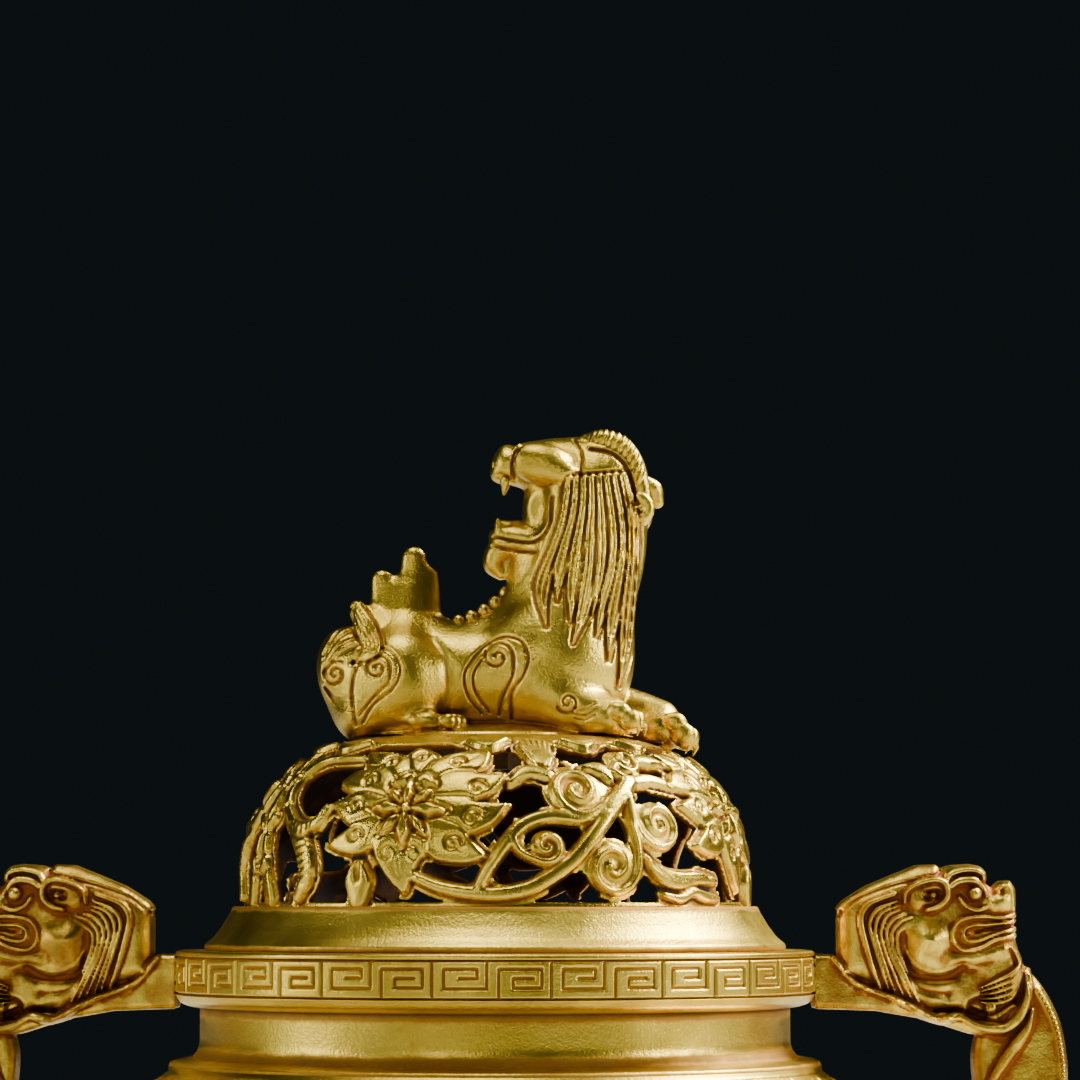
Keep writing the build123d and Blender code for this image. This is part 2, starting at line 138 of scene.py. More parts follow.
# ---- a flat sheet on which relief is drawn ----
class Sheet:
    """Relief heights on a grid of (u, v) in millimetres. A sheet that goes around joins its own ends."""

    def __init__(self, low, high, step, around=False, squeeze=None):
        self.step = step
        self.around = around
        self.low = low
        count_u = int(round((high[0] - low[0]) / step)) + (0 if around else 1)
        count_v = int(round((high[1] - low[1]) / step)) + 1
        self.u = low[0] + np.arange(count_u) * step
        self.v = low[1] + np.arange(count_v) * step
        self.squeeze = np.ones(count_v) if squeeze is None else squeeze(self.v)
        self.height = np.zeros((count_u, count_v))
        self.ink = np.full((count_u, count_v), FAR)         # distance to the nearest raised line
        self.holes = np.full((count_u, count_v), FAR)       # distance to the nearest opening

    def distance(self, points, widths, reach):
        """Distance to a line's edge, on the part of the sheet within reach of it. Negative is inside."""
        p = np.asarray(points, float)
        half = spread_along(len(p), np.atleast_1d(widths)) / 2
        pad = half.max() + reach
        pad_u = pad / self.squeeze.min() if self.around else pad
        first_u = int(np.floor((p[:, 0].min() - pad_u - self.low[0]) / self.step))
        last_u = int(np.ceil((p[:, 0].max() + pad_u - self.low[0]) / self.step))
        first_v = max(0, int(np.floor((p[:, 1].min() - pad - self.low[1]) / self.step)))
        last_v = min(len(self.v) - 1, int(np.ceil((p[:, 1].max() + pad - self.low[1]) / self.step)))
        if not self.around:
            first_u, last_u = max(0, first_u), min(len(self.u) - 1, last_u)
        run = np.arange(first_u, last_u + 1)
        rows = run % len(self.u)
        cols = np.arange(first_v, last_v + 1)
        u = (self.low[0] + run * self.step)[:, None]
        v = self.v[cols][None, :]
        squeeze = self.squeeze[cols][None, :]
        best = np.full((len(rows), len(cols)), FAR)
        for (au, av), (bu, bv), ra, rb in zip(p, p[1:], half, half[1:]):
            du, dv = (bu - au) * squeeze, bv - av
            pu, pv = (u - au) * squeeze, v - av
            t = np.clip((pu * du + pv * dv) / (du * du + dv * dv + 1e-9), 0, 1)
            gap = np.hypot(pu - t * du, pv - t * dv) - (ra + (rb - ra) * t)
            np.minimum(best, gap, out=best)
        return np.ix_(rows, cols), best

    def emboss(self, points, widths, height, edge):
        """A raised band with a rounded edge, standing height above the ground."""
        where, gap = self.distance(points, widths, 0.6)
        swell = np.sqrt(np.clip(1 - np.clip(1 + gap / edge, 0, 1) ** 2, 0, 1))
        new = np.where(gap < 0, height * swell, -FAR)
        self.height[where] = np.maximum(self.height[where], new)
        self.ink[where] = np.minimum(self.ink[where], gap)

    def plateau(self, points, widths, height, trench=0.5):
        """A raised leaf that lies over what is under it, with a cut line all round it."""
        where, gap = self.distance(points, widths, 1.0)
        inside = soft_step(-gap / 0.45)
        dome = height * (0.8 + 0.2 * np.clip(-gap / 1.6, 0, 1))
        old = self.height[where]
        cut = np.exp(-(np.clip(gap - 0.15, 0, FAR) / 0.3) ** 2) * trench * (gap > -0.1)
        self.height[where] = (old - cut) * (1 - inside) + dome * inside
        self.ink[where] = np.minimum(self.ink[where], gap)

    def engrave(self, points, width, depth):
        """A round-bottomed groove."""
        where, gap = self.distance(points, 0.0, width)
        self.height[where] -= depth * np.exp(-(gap / (0.5 * width)) ** 2)

    def swell(self, points, widths, height, softness):
        """A soft mound that adds to what is under it."""
        where, gap = self.distance(points, widths, softness)
        self.height[where] += height * soft_step(0.5 - gap / (2 * softness))

    def pierce(self, centre, half_u, half_v):
        """An opening, kept clear only where no raised line crosses it."""
        where, _ = self.distance(spot(*centre), 2 * max(half_u, half_v), 1.0)
        u = self.u[0] + ((self.u[where[0][:, 0]] - centre[0] + self.length / 2) % self.length)[:, None]
        du = (u - self.u[0] - self.length / 2) * self.squeeze[where[1][0]][None, :]
        dv = (self.v[where[1][0]] - centre[1])[None, :]
        gap = (np.hypot(du / half_u, dv / half_v) - 1) * min(half_u, half_v)
        self.holes[where] = np.minimum(self.holes[where], gap)

    def soften(self):
        """Rounds off the heights by one cell."""
        for axis in (0, 1):
            beside = np.roll(self.height, 1, axis) + np.roll(self.height, -1, axis)
            self.height = 0.5 * self.height + 0.25 * beside

    @property
    def length(self):
        return len(self.u) * self.step


# ---- clay: rounded masses pressed together in a block of space ----
class Clay:
    """A field on a grid, negative inside the shape. Shapes are added with a soft join."""

    def __init__(self, low, high, step):
        self.step = step
        self.low = np.array(low, float)
        self.counts = [int(np.ceil((b - a) / step)) + 1 for a, b in zip(low, high)]
        self.field = np.full(self.counts, EMPTY, np.float32)
        self.axes = [self.low[i] + np.arange(self.counts[i], dtype=np.float32) * step for i in range(3)]

    def window(self, low, high):
        """Slices and open coordinates of the part of the block that a shape can reach."""
        cut = []
        for axis in range(3):
            first = int(np.clip(np.floor((low[axis] - self.low[axis]) / self.step), 0, self.counts[axis]))
            last = int(np.clip(np.ceil((high[axis] - self.low[axis]) / self.step) + 1, 0, self.counts[axis]))
            cut.append(slice(first, last))
        x = self.axes[0][cut[0]][:, None, None]
        y = self.axes[1][cut[1]][None, :, None]
        z = self.axes[2][cut[2]][None, None, :]
        return tuple(cut), x, y, z

    def everywhere(self):
        """Open coordinates of the whole block."""
        x, y, z = self.axes
        return x[:, None, None], y[None, :, None], z[None, None, :]

    def side_sheet(self):
        """A sheet for relief, lying in the block's XZ plane cell for cell."""
        x, _, z = self.axes
        return Sheet((self.low[0], self.low[2]), (x[-1], z[-1]), self.step)

    def join(self, cut, gap, blend):
        """Adds a shape, with a join as soft as blend."""
        old = self.field[cut]
        mix = np.clip(0.5 + 0.5 * (old - gap) / blend, 0, 1)
        self.field[cut] = old * (1 - mix) + gap * mix - blend * mix * (1 - mix)

    def remove(self, cut, gap, blend):
        """Takes a shape away, with an edge as soft as blend."""
        old = self.field[cut]
        mix = np.clip(0.5 - 0.5 * (old + gap) / blend, 0, 1)
        self.field[cut] = old * (1 - mix) - gap * mix + blend * mix * (1 - mix)

    def blob_gap(self, centre, radii, tilt, both, margin):
        """An ellipsoid, tilted nose-up about Y. With both, a twin is added on the other side of Y = 0."""
        reach = max(radii) + margin
        low = [centre[i] - reach for i in range(3)]
        high = [centre[i] + reach for i in range(3)]
        if both:
            low[1], high[1] = -abs(centre[1]) - reach, abs(centre[1]) + reach
        cut, x, y, z = self.window(low, high)
        y = np.abs(y) - abs(centre[1]) if both else y - centre[1]
        c, s = cos(radians(tilt)), sin(radians(tilt))
        dx, dz = x - centre[0], z - centre[2]
        a, b, d = (dx * c + dz * s), y, (dz * c - dx * s)
        k0 = np.sqrt((a / radii[0]) ** 2 + (b / radii[1]) ** 2 + (d / radii[2]) ** 2)
        k1 = np.sqrt((a / radii[0] ** 2) ** 2 + (b / radii[1] ** 2) ** 2 + (d / radii[2] ** 2) ** 2) + 1e-6
        return cut, (k0 * (k0 - 1) / k1).astype(np.float32)

    def blob(self, centre, radii, tilt=0.0, blend=2.0, both=False):
        """Presses an ellipsoid on."""
        cut, gap = self.blob_gap(centre, radii, tilt, both, blend + 1)
        self.join(cut, gap, blend)

    def scoop(self, centre, radii, tilt=0.0, blend=1.0, both=False):
        """Takes an ellipsoid out."""
        cut, gap = self.blob_gap(centre, radii, tilt, both, blend + 1)
        self.remove(cut, gap, blend)

    def limb(self, points, radii, blend=1.5, both=False, flat=1.0, smooth=True):
        """A round bar along a line, changing radius. flat makes it that many times as wide across Y.
        With both, a twin is added on the other side of Y = 0."""
        p = through(points, 8) if smooth else np.array(points, float)
        r = spread_along(len(p), radii)
        reach = max(radii) + blend + 1
        low, high = p.min(0) - reach, p.max(0) + reach
        if both:
            low[1] = -high[1]
        cut, x, y, z = self.window(low, high)
        if both:
            y = np.abs(y)
        best = FAR
        for a, b, ra, rb in zip(p, p[1:], r, r[1:]):
            d = b - a
            px, py, pz = x - a[0], (y - a[1]) / flat, z - a[2]
            dy = d[1] / flat
            t = np.clip((px * d[0] + py * dy + pz * d[2]) / (d[0] ** 2 + dy**2 + d[2] ** 2 + 1e-9), 0, 1)
            away = np.sqrt((px - t * d[0]) ** 2 + (py - t * dy) ** 2 + (pz - t * d[2]) ** 2)
            best = np.minimum(best, away - (ra + (rb - ra) * t))
        self.join(cut, (best * min(flat, 1.0)).astype(np.float32), blend)

    def press_sides(self, sheet, from_y):
        """Adds a sheet's relief, drawn in the XZ plane, to both sides beyond from_y."""
        fade = np.clip((np.abs(self.axes[1]) - from_y) / 1.0, 0, 1)[None, :, None]
        self.field -= (sheet.height[:, None, :] * fade).astype(np.float32)


def softened(field, reach):
    """The field averaged over a cube that reaches so many cells each way."""
    out = field
    for axis, count in enumerate(field.shape):
        margins = [(0, 0)] * 3
        margins[axis] = (reach + 1, reach)
        total = np.cumsum(np.pad(out, margins, mode="edge"), axis, dtype=np.float64)
        high = total.take(range(2 * reach + 1, 2 * reach + 1 + count), axis)
        low = total.take(range(count), axis)
        out = ((high - low) / (2 * reach + 1)).astype(np.float32)
    return out


SLOPE_SQUARED = (0.3, 30.0)     # limits between which a field's slope is trusted


def evened(field, step):
    """The field divided by its own slope, so that it runs evenly through the surface and meshes smoothly."""
    slope = np.zeros_like(field)
    for axis in range(3):
        slope += np.gradient(field, np.float32(step), axis=axis) ** 2
    return field / np.sqrt(np.clip(slope, *SLOPE_SQUARED))


def read_at(field, points):
    """The field's value at each point, mixed from the eight cells round it."""
    low = np.clip(np.floor(points).astype(int), 0, np.array(field.shape) - 2)
    share = points - low
    total = np.zeros(len(points))
    for corner in np.ndindex(2, 2, 2):
        weight = np.prod(np.where(corner, share, 1 - share), axis=1)
        total += weight * field[tuple((low + corner).T)]
    return total


def skin(field, step, fine=2, broad=6):
    """Points, quads and how hollow the surface is at each point, from a field. Hollows are looked for within
    fine cells and within broad cells."""
    skin_depth = 3 * step
    clipped = np.clip(evened(field, step), -skin_depth, skin_depth)
    grid = openvdb.FloatGrid()
    grid.background = skin_depth
    grid.copyFromArray(clipped)
    points, _, quads = grid.convertToPolygons(isovalue=0.0, adaptivity=0.0)
    wide = np.clip(field, -broad * step, broad * step)
    pit = -read_at(softened(clipped, fine), points) / (fine * step * 0.5)
    hollow = -read_at(softened(wide, broad), points) / (broad * step * 0.5)
    # The hollowness is kept on the mesh. The finish turns it into a red-brown stain, and into near-black
    # painted shade in the deepest hollows.
    return points, quads, np.clip(0.75 * pit + 0.5 * hollow, -1, 1)


# ---- meshes ----
def point_normals(points, quads):
    """Each point's normal, from the quads round it."""
    corners = points[quads]
    face = np.cross(corners[:, 2] - corners[:, 0], corners[:, 3] - corners[:, 1])
    out = np.zeros_like(points)
    for corner in range(4):
        np.add.at(out, quads[:, corner], face)
    return out / (np.linalg.norm(out, axis=1)[:, None] + 1e-12)


def facing_out(points, quads):
    """The quads wound so that the volume they hold is positive."""
    corners = points[quads]
    volume = np.einsum("ij,ij->i", corners[:, 0], np.cross(corners[:, 1], corners[:, 2])).sum()
    volume += np.einsum("ij,ij->i", corners[:, 0], np.cross(corners[:, 2], corners[:, 3])).sum()
    return quads if volume > 0 else quads[:, ::-1]


def add_mesh(name, points, quads, stain_and_shade=None, normals=None):
    """A smooth-shaded object at the origin, from points in millimetres."""
    mesh = bpy.data.meshes.new(name)
    mesh.vertices.add(len(points))
    mesh.vertices.foreach_set("co", (np.asarray(points, float) * MM).ravel())
    mesh.loops.add(4 * len(quads))
    mesh.loops.foreach_set("vertex_index", np.ascontiguousarray(quads, dtype=np.int32).ravel())
    mesh.polygons.add(len(quads))
    mesh.polygons.foreach_set("loop_start", np.arange(0, 4 * len(quads), 4, dtype=np.int32))
    mesh.update(calc_edges=True)
    mesh.validate()
    mesh.polygons.foreach_set("use_smooth", [True] * len(mesh.polygons))
    # Per-point hollowness, which the finish paints as a stain and as shade.
    if stain_and_shade is not None:
        values = np.asarray(stain_and_shade, np.float32)
        mesh.attributes.new("stain_and_shade", "FLOAT", "POINT").data.foreach_set("value", values)
    if normals is not None:
        mesh.normals_split_custom_set_from_vertices(normals)
    obj = bpy.data.objects.new(name, mesh)
    bpy.context.scene.collection.objects.link(obj)
    return obj


def add_parts(names, points, quads, stain_and_shade, part_of):
    """One mesh cut into several objects that share their edge normals. part_of gives each quad's part."""
    quads = facing_out(points, quads)
    normals = point_normals(points, quads)
    objects = []
    for index, name in enumerate(names):
        chosen = quads[part_of == index]
        used, renumbered = np.unique(chosen, return_inverse=True)
        renumbered = renumbered.reshape(chosen.shape)
        objects.append(add_mesh(name, points[used], renumbered, stain_and_shade[used], normals[used]))
    return objects


def turned_grid(outline, columns, relief=None, capped=False):
    """Points and quads of a body turned about Z. relief lifts points off the outline, to its right-hand side.
    With capped, the outline's ends are closed by flat discs."""
    ring = np.array(outline, float)
    rows = len(ring)
    along = np.gradient(ring, axis=0) if capped else np.roll(ring, -1, 0) - np.roll(ring, 1, 0)
    out = np.stack([along[:, 1], -along[:, 0]], axis=1) / (np.linalg.norm(along, axis=1)[:, None] + 1e-9)
    lift = np.zeros((columns, rows)) if relief is None else relief
    angle = np.linspace(0, 2 * pi, columns, endpoint=False)[:, None]
    r, z = ring[:, 0] + out[:, 0] * lift, ring[:, 1] + out[:, 1] * lift
    points = np.stack([r * np.cos(angle), r * np.sin(angle), z], axis=2).reshape(-1, 3)
    i = np.arange(columns)[:, None]
    j = np.arange(rows - 1 if capped else rows)[None, :]
    ahead, up = (i + 1) % columns, (j + 1) % rows
    corners = [i * rows + j, ahead * rows + j, ahead * rows + up, i * rows + up]
    quads = np.stack(corners, axis=2).reshape(-1, 4)
    if capped:
        half = np.arange(columns // 2 - 1)
        strip = np.stack([half, half + 1, columns - 2 - half, columns - 1 - half], axis=1) * rows
        quads = np.vstack([quads, strip[:, ::-1], strip + rows - 1])
    return points, quads


def lathe(name, outline, columns=256, crease=None, capped=False):
    """A plain turned body. crease gives how hollow the surface is at a radius and height, which the finish
    paints as a stain and as painted shade.
    """
    points, quads = turned_grid(outline, columns, capped=capped)
    stain_and_shade = np.zeros(len(points)) if crease is None else np.tile([crease(r, z) for r, z in outline], columns)
    return add_mesh(name, points, facing_out(points, quads), stain_and_shade)


CORNER_STEPS = 3


def rounded(corners, radius=0.4):
    """A closed outline with each corner softened."""
    p = [Vector(c) for c in corners]
    out = []
    for i, corner in enumerate(p):
        back, ahead = p[i - 1] - corner, p[(i + 1) % len(p)] - corner
        cut = min(radius, back.length * 0.4, ahead.length * 0.4)
        a, b = corner + back.normalized() * cut, corner + ahead.normalized() * cut
        for k in range(CORNER_STEPS + 1):
            t = k / CORNER_STEPS
            out.append(tuple(a * (1 - t) ** 2 + corner * 2 * t * (1 - t) + b * t**2))
    return out


# ---- repeats, by Geometry Nodes ----
WELD_GAP = 0.02
BEAD_SEGMENTS, BEAD_RINGS = 10, 6


def node_tree(name, *inputs):
    """An empty geometry tree with a geometry input and the named others."""
    tree = bpy.data.node_groups.new(name, "GeometryNodeTree")
    tree.interface.new_socket("Geometry", in_out="INPUT", socket_type="NodeSocketGeometry")
    for label, kind in inputs:
        tree.interface.new_socket(label, in_out="INPUT", socket_type=kind)
    tree.interface.new_socket("Geometry", in_out="OUTPUT", socket_type="NodeSocketGeometry")
    return tree, tree.nodes.new("NodeGroupInput"), tree.nodes.new("NodeGroupOutput")


def flow(tree, *nodes):
    """Links each node's first output to the first input of the next."""
    for a, b in zip(nodes, nodes[1:]):
        tree.links.new(a.outputs[0], b.inputs[0])


def ring_tree():
    """Repeats the incoming mesh around Z."""
    tree, start, end = node_tree("RepeatAroundZ", ("Count", "NodeSocketInt"),
                                 ("Finish", "NodeSocketMaterial"))
    new, link = tree.nodes.new, tree.links.new
    spots = new("GeometryNodeMeshLine")
    place = new("GeometryNodeInstanceOnPoints")
    index = new("GeometryNodeInputIndex")
    turn = new("ShaderNodeMath")
    turn.operation = "DIVIDE"
    full = new("ShaderNodeMath")
    full.operation = "MULTIPLY"
    full.inputs[1].default_value = 2 * pi
    angle = new("ShaderNodeCombineXYZ")
    real = new("GeometryNodeRealizeInstances")
    weld = new("GeometryNodeMergeByDistance")
    weld.inputs["Distance"].default_value = WELD_GAP * MM
    paint = new("GeometryNodeSetMaterial")
    spots.inputs["Offset"].default_value = (0, 0, 0)
    link(start.outputs["Count"], spots.inputs["Count"])
    link(spots.outputs["Mesh"], place.inputs["Points"])
    link(start.outputs["Geometry"], place.inputs["Instance"])
    flow(tree, index, full, turn)
    link(start.outputs["Count"], turn.inputs[1])
    link(turn.outputs[0], angle.inputs["Z"])
    link(angle.outputs[0], place.inputs["Rotation"])
    flow(tree, place, real, weld, paint, end)
    link(start.outputs["Finish"], paint.inputs["Material"])
    return tree


def bead_tree():
    """Sets small beads at even steps along the incoming edges."""
    tree, start, end = node_tree("BeadsAlongLine", ("Spacing", "NodeSocketFloat"),
                                 ("Radius", "NodeSocketFloat"), ("Length", "NodeSocketFloat"),
                                 ("Finish", "NodeSocketMaterial"))
    new, link = tree.nodes.new, tree.links.new
    curve = new("GeometryNodeMeshToCurve")
    steps = new("GeometryNodeResampleCurve")
    steps.mode = "LENGTH"
    bead = new("GeometryNodeMeshUVSphere")
    bead.inputs["Segments"].default_value = BEAD_SEGMENTS
    bead.inputs["Rings"].default_value = BEAD_RINGS
    tangent = new("GeometryNodeInputTangent")
    face = new("FunctionNodeAlignRotationToVector")
    face.axis = "Z"
    size = new("ShaderNodeCombineXYZ")
    size.inputs["X"].default_value = 1.0
    size.inputs["Y"].default_value = 1.0
    place = new("GeometryNodeInstanceOnPoints")
    real = new("GeometryNodeRealizeInstances")
    smooth = new("GeometryNodeSetShadeSmooth")
    paint = new("GeometryNodeSetMaterial")
    flow(tree, start, curve, steps)
    link(start.outputs["Spacing"], steps.inputs["Length"])
    link(start.outputs["Radius"], bead.inputs["Radius"])
    link(steps.outputs[0], place.inputs["Points"])
    link(bead.outputs["Mesh"], place.inputs["Instance"])
    link(tangent.outputs[0], face.inputs["Vector"])
    link(face.outputs[0], place.inputs["Rotation"])
    link(start.outputs["Length"], size.inputs["Z"])
    link(size.outputs[0], place.inputs["Scale"])
    flow(tree, place, real, smooth, paint, end)
    link(start.outputs["Finish"], paint.inputs["Material"])
    return tree


def grown(obj, tree, **values):
    """The object's mesh after a geometry tree has worked on it, as a plain mesh."""
    modifier = obj.modifiers.new("grow", "NODES")
    modifier.node_group = tree
    sockets = {item.name: item.identifier for item in tree.interface.items_tree if item.in_out == "INPUT"}
    for label, value in values.items():
        modifier[sockets[label]] = value
    depsgraph = bpy.context.evaluated_depsgraph_get()
    mesh = bpy.data.meshes.new_from_object(obj.evaluated_get(depsgraph))
    obj.modifiers.remove(modifier)
    obj.data = mesh
    return obj


def line_object(name, points):
    """Edges along a line, for a tree to work on."""
    mesh = bpy.data.meshes.new(name)
    mesh.from_pydata([tuple(float(c) * MM for c in p) for p in points],
                     [(i, i + 1) for i in range(len(points) - 1)], [])
    obj = bpy.data.objects.new(name, mesh)
    bpy.context.scene.collection.objects.link(obj)
    return obj


def hand_over(obj, body, slot, finish, *nodes):
    """Finishes a piece: its material, the body it rides on, and the CAD nodes it stands for."""
    obj.data.materials.clear()
    obj.data.materials.append(finish)
    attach(obj, body)
    if nodes:
        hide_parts(*nodes)


# ---- finishes ----
class Paint:
    """A material and short ways to add its nodes."""

    def __init__(self, name):
        self.material = bpy.data.materials.new(name)
        self.material.use_nodes = True
        self.tree = self.material.node_tree
        self.tree.nodes.clear()
        self.shader = self.node("ShaderNodeBsdfPrincipled")
        out = self.node("ShaderNodeOutputMaterial")
        self.link(self.shader.outputs[0], out.inputs[0])
        self.place = self.node("ShaderNodeTexCoord").outputs["Object"]

    def node(self, kind, **settings):
        """A new node with its settings."""
        node = self.tree.nodes.new(kind)
        for key, value in settings.items():
            setattr(node, key, value)
        return node

    def link(self, a, b):
        self.tree.links.new(a, b)

    def put(self, socket, value):
        """Feeds a socket from another one, or sets it to a plain value."""
        if isinstance(value, bpy.types.NodeSocket):
            self.link(value, socket)
        else:
            socket.default_value = value

    def noise(self, size_mm, detail=3.0, roughness=0.55, stretch=(1, 1, 1)):
        """Noise with features about size_mm across."""
        node = self.node("ShaderNodeTexNoise")
        node.inputs["Scale"].default_value = 1.0 / (size_mm * MM)
        node.inputs["Detail"].default_value = detail
        node.inputs["Roughness"].default_value = roughness
        spread = self.node("ShaderNodeVectorMath", operation="MULTIPLY")
        spread.inputs[1].default_value = stretch
        self.link(self.place, spread.inputs[0])
        self.link(spread.outputs[0], node.inputs["Vector"])
        return node.outputs["Fac"]

    def math(self, operation, a, b, clamp=False):
        """One sum of two values."""
        node = self.node("ShaderNodeMath", operation=operation, use_clamp=clamp)
        self.put(node.inputs[0], a)
        self.put(node.inputs[1], b)
        return node.outputs[0]

    def between(self, value, low, high):
        """0 below low and 1 above high."""
        node = self.node("ShaderNodeMapRange", interpolation_type="SMOOTHSTEP")
        self.put(node.inputs["Value"], value)
        node.inputs["From Min"].default_value = low
        node.inputs["From Max"].default_value = high
        return node.outputs[0]

    def mix(self, share, a, b):
        """Colour a, turning into b as share goes from 0 to 1."""
        node = self.node("ShaderNodeMix", data_type="RGBA")
        self.put(node.inputs[0], share)
        self.put(node.inputs[6], a if isinstance(a, bpy.types.NodeSocket) else (*a, 1))
        self.put(node.inputs[7], b if isinstance(b, bpy.types.NodeSocket) else (*b, 1))
        return node.outputs[2]

    def bump(self, height, depth_mm, strength, under=None):
        """A normal roughened by height, on top of the normal under it."""
        node = self.node("ShaderNodeBump")
        node.inputs["Strength"].default_value = strength
        node.inputs["Distance"].default_value = depth_mm * MM
        self.link(height, node.inputs["Height"])
        if under is not None:
            self.link(under, node.inputs["Normal"])
        return node.outputs[0]


DUST = (0.30, 0.29, 0.27)
# Near-black colour of the painted shade in the deepest hollows.
SHADE_BLACK = (0.012, 0.009, 0.007)
TARNISH = (0.02, 0.016, 0.014)


def gilding(name, sheen, red, painted_shade, silver=0.0, grain=1.0, worn_from=0.60, low_from=0.10):
    """Worn gilt bronze: bright gold on the high places, a red-brown stain in the low ones, and near-black
    painted shade in the deepest hollows.
    The gold has rubbed off in patches where the noise is above worn_from, and places hollower than low_from
    are stained."""
    sizes = bpy.context.scene.censer_finish
    paint = Paint(name)
    # Hollowness read from the mesh: a red-brown stain in the low places, and painted shade in the deepest
    # ones.
    stain_and_shade = paint.node("ShaderNodeAttribute", attribute_name="stain_and_shade").outputs["Fac"]
    cloud = paint.noise(22, 4)
    blotch = paint.noise(5, 4)
    speckle = paint.noise(0.8, 4, 0.75)
    sand = paint.noise(0.42, 2, 0.6)
    brushed = paint.noise(0.5, 2, 0.6, stretch=(1, 1, 0.08))

    deep = paint.math("ADD", stain_and_shade, paint.math("MULTIPLY", paint.math("SUBTRACT", blotch, 0.5), 0.7))
    deep = paint.math("ADD", deep, paint.math("MULTIPLY", paint.math("SUBTRACT", speckle, 0.5), 0.35))
    stain = paint.between(deep, low_from, low_from + 0.5)
    # Painted shade: the deepest hollows are turned near black, as if in shadow.
    dark = paint.math("MULTIPLY", paint.between(deep, 0.62, 1.05), painted_shade)
    dust = paint.math("MULTIPLY", paint.between(paint.math("SUBTRACT", deep, cloud), -0.35, 0.15), silver)

    gold = paint.mix(paint.between(cloud, 0.35, 0.65), sizes.gold, sizes.gold_shade)
    colour = paint.mix(paint.math("MULTIPLY", stain, red), gold, sizes.recess)
    patch = paint.math("MULTIPLY", paint.between(blotch, worn_from, worn_from + 0.18), 0.35 * red)
    colour = paint.mix(patch, colour, sizes.recess)
    colour = paint.mix(dust, colour, DUST)
    colour = paint.mix(dark, colour, SHADE_BLACK)
    paint.link(colour, paint.shader.inputs["Base Color"])

    dull = paint.math("MULTIPLY", stain, 0.28)
    rough = paint.math("ADD", paint.math("ADD", sheen - 0.07, dull), paint.math("MULTIPLY", blotch, 0.14))
    rough = paint.math("ADD", rough, paint.math("MULTIPLY", dark, 0.3), clamp=True)
    paint.link(rough, paint.shader.inputs["Roughness"])
    lost = paint.math("ADD", paint.math("MULTIPLY", stain, 0.08), dark)
    metal = paint.math("SUBTRACT", 1.0, lost, clamp=True)
    paint.link(metal, paint.shader.inputs["Metallic"])

    rugged = paint.bump(sand, 0.07 * grain, 0.7)
    rugged = paint.bump(speckle, 0.10 * grain, 0.6, rugged)
    rugged = paint.bump(brushed, 0.02 * grain, 0.25, rugged)
    rugged = paint.bump(blotch, 0.25, 0.18, rugged)
    paint.link(rugged, paint.shader.inputs["Normal"])
    return paint.material


def plain_metal(name, light, shade, sheen):
    """A dull metal with uneven colour, for the liner and the fixings."""
    paint = Paint(name)
    cloud, blotch, sand = paint.noise(9, 4), paint.noise(2.4, 4), paint.noise(0.4, 2)
    colour = paint.mix(paint.between(blotch, 0.3, 0.7), light, shade)
    colour = paint.mix(paint.math("MULTIPLY", paint.between(cloud, 0.5, 0.75), 0.6), colour, TARNISH)
    paint.link(colour, paint.shader.inputs["Base Color"])
    paint.shader.inputs["Metallic"].default_value = 1.0
    rough = paint.math("ADD", sheen, paint.math("MULTIPLY", blotch, 0.25))
    paint.link(rough, paint.shader.inputs["Roughness"])
    paint.link(paint.bump(sand, 0.05, 0.5, paint.bump(blotch, 0.1, 0.3)), paint.shader.inputs["Normal"])
    return paint.material


FINISHES = {                    # name: (what makes it, its settings)
    "gilt_lion": (gilding, dict(sheen=0.29, red=0.85, silver=0.08, painted_shade=0.6, grain=1.6)),
    "gilt_openwork": (gilding, dict(sheen=0.28, red=0.9, painted_shade=0.95, low_from=0.05)),
    "gilt_handle": (gilding, dict(sheen=0.33, red=1.6, painted_shade=0.6, grain=1.5, worn_from=0.40, low_from=-0.04)),
    "gilt_turned": (gilding, dict(sheen=0.32, red=0.7, painted_shade=0.35)),
    "gilt_relief": (gilding, dict(sheen=0.30, red=0.85, painted_shade=0.6)),
    "dark_copper": (plain_metal, dict(light=(0.30, 0.13, 0.07), shade=(0.12, 0.06, 0.04), sheen=0.45)),
    "dull_brass": (plain_metal, dict(light=(0.42, 0.28, 0.10), shade=(0.22, 0.14, 0.06), sheen=0.4)),
}


def finish(name):
    """The material of that name, made the first time it is asked for."""
    if name not in bpy.data.materials:
        make, settings = FINISHES[name]
        make(name, **settings)
    return bpy.data.materials[name]


# ---- the lion knob ----
def band(line, widths, shift):
    """A line running beside another one, shift times its half width away."""
    p = np.asarray(line, float)
    along = np.gradient(p, axis=0)
    along /= np.linalg.norm(along, axis=1)[:, None] + 1e-9
    half = spread_along(len(p), widths) / 2
    return p + np.stack([-along[:, 1], along[:, 0]], axis=1) * (half * shift)[:, None]


def comb(sheet, points, widths, strands):
    """A lock of hair: a raised leaf with grooves running along it."""
    line = through(points)
    sheet.plateau(line, widths, 0.7, trench=0.4)
    for k in range(strands):
        shift = -0.8 + 1.6 * (k + 0.5) / strands
        sheet.engrave(band(line, widths, shift), 0.45, 0.5)


MANE_FRONT = ((12.2, 43.0), (11.2, 37.5), (9.6, 31.5), (7.7, 25.0), (7.4, 18.4))
MANE_BACK = ((22.8, 44.0), (24.6, 35.0), (25.0, 26.0), (23.6, 16.0), (21.2, 7.0))
MANE_LOCKS = 8


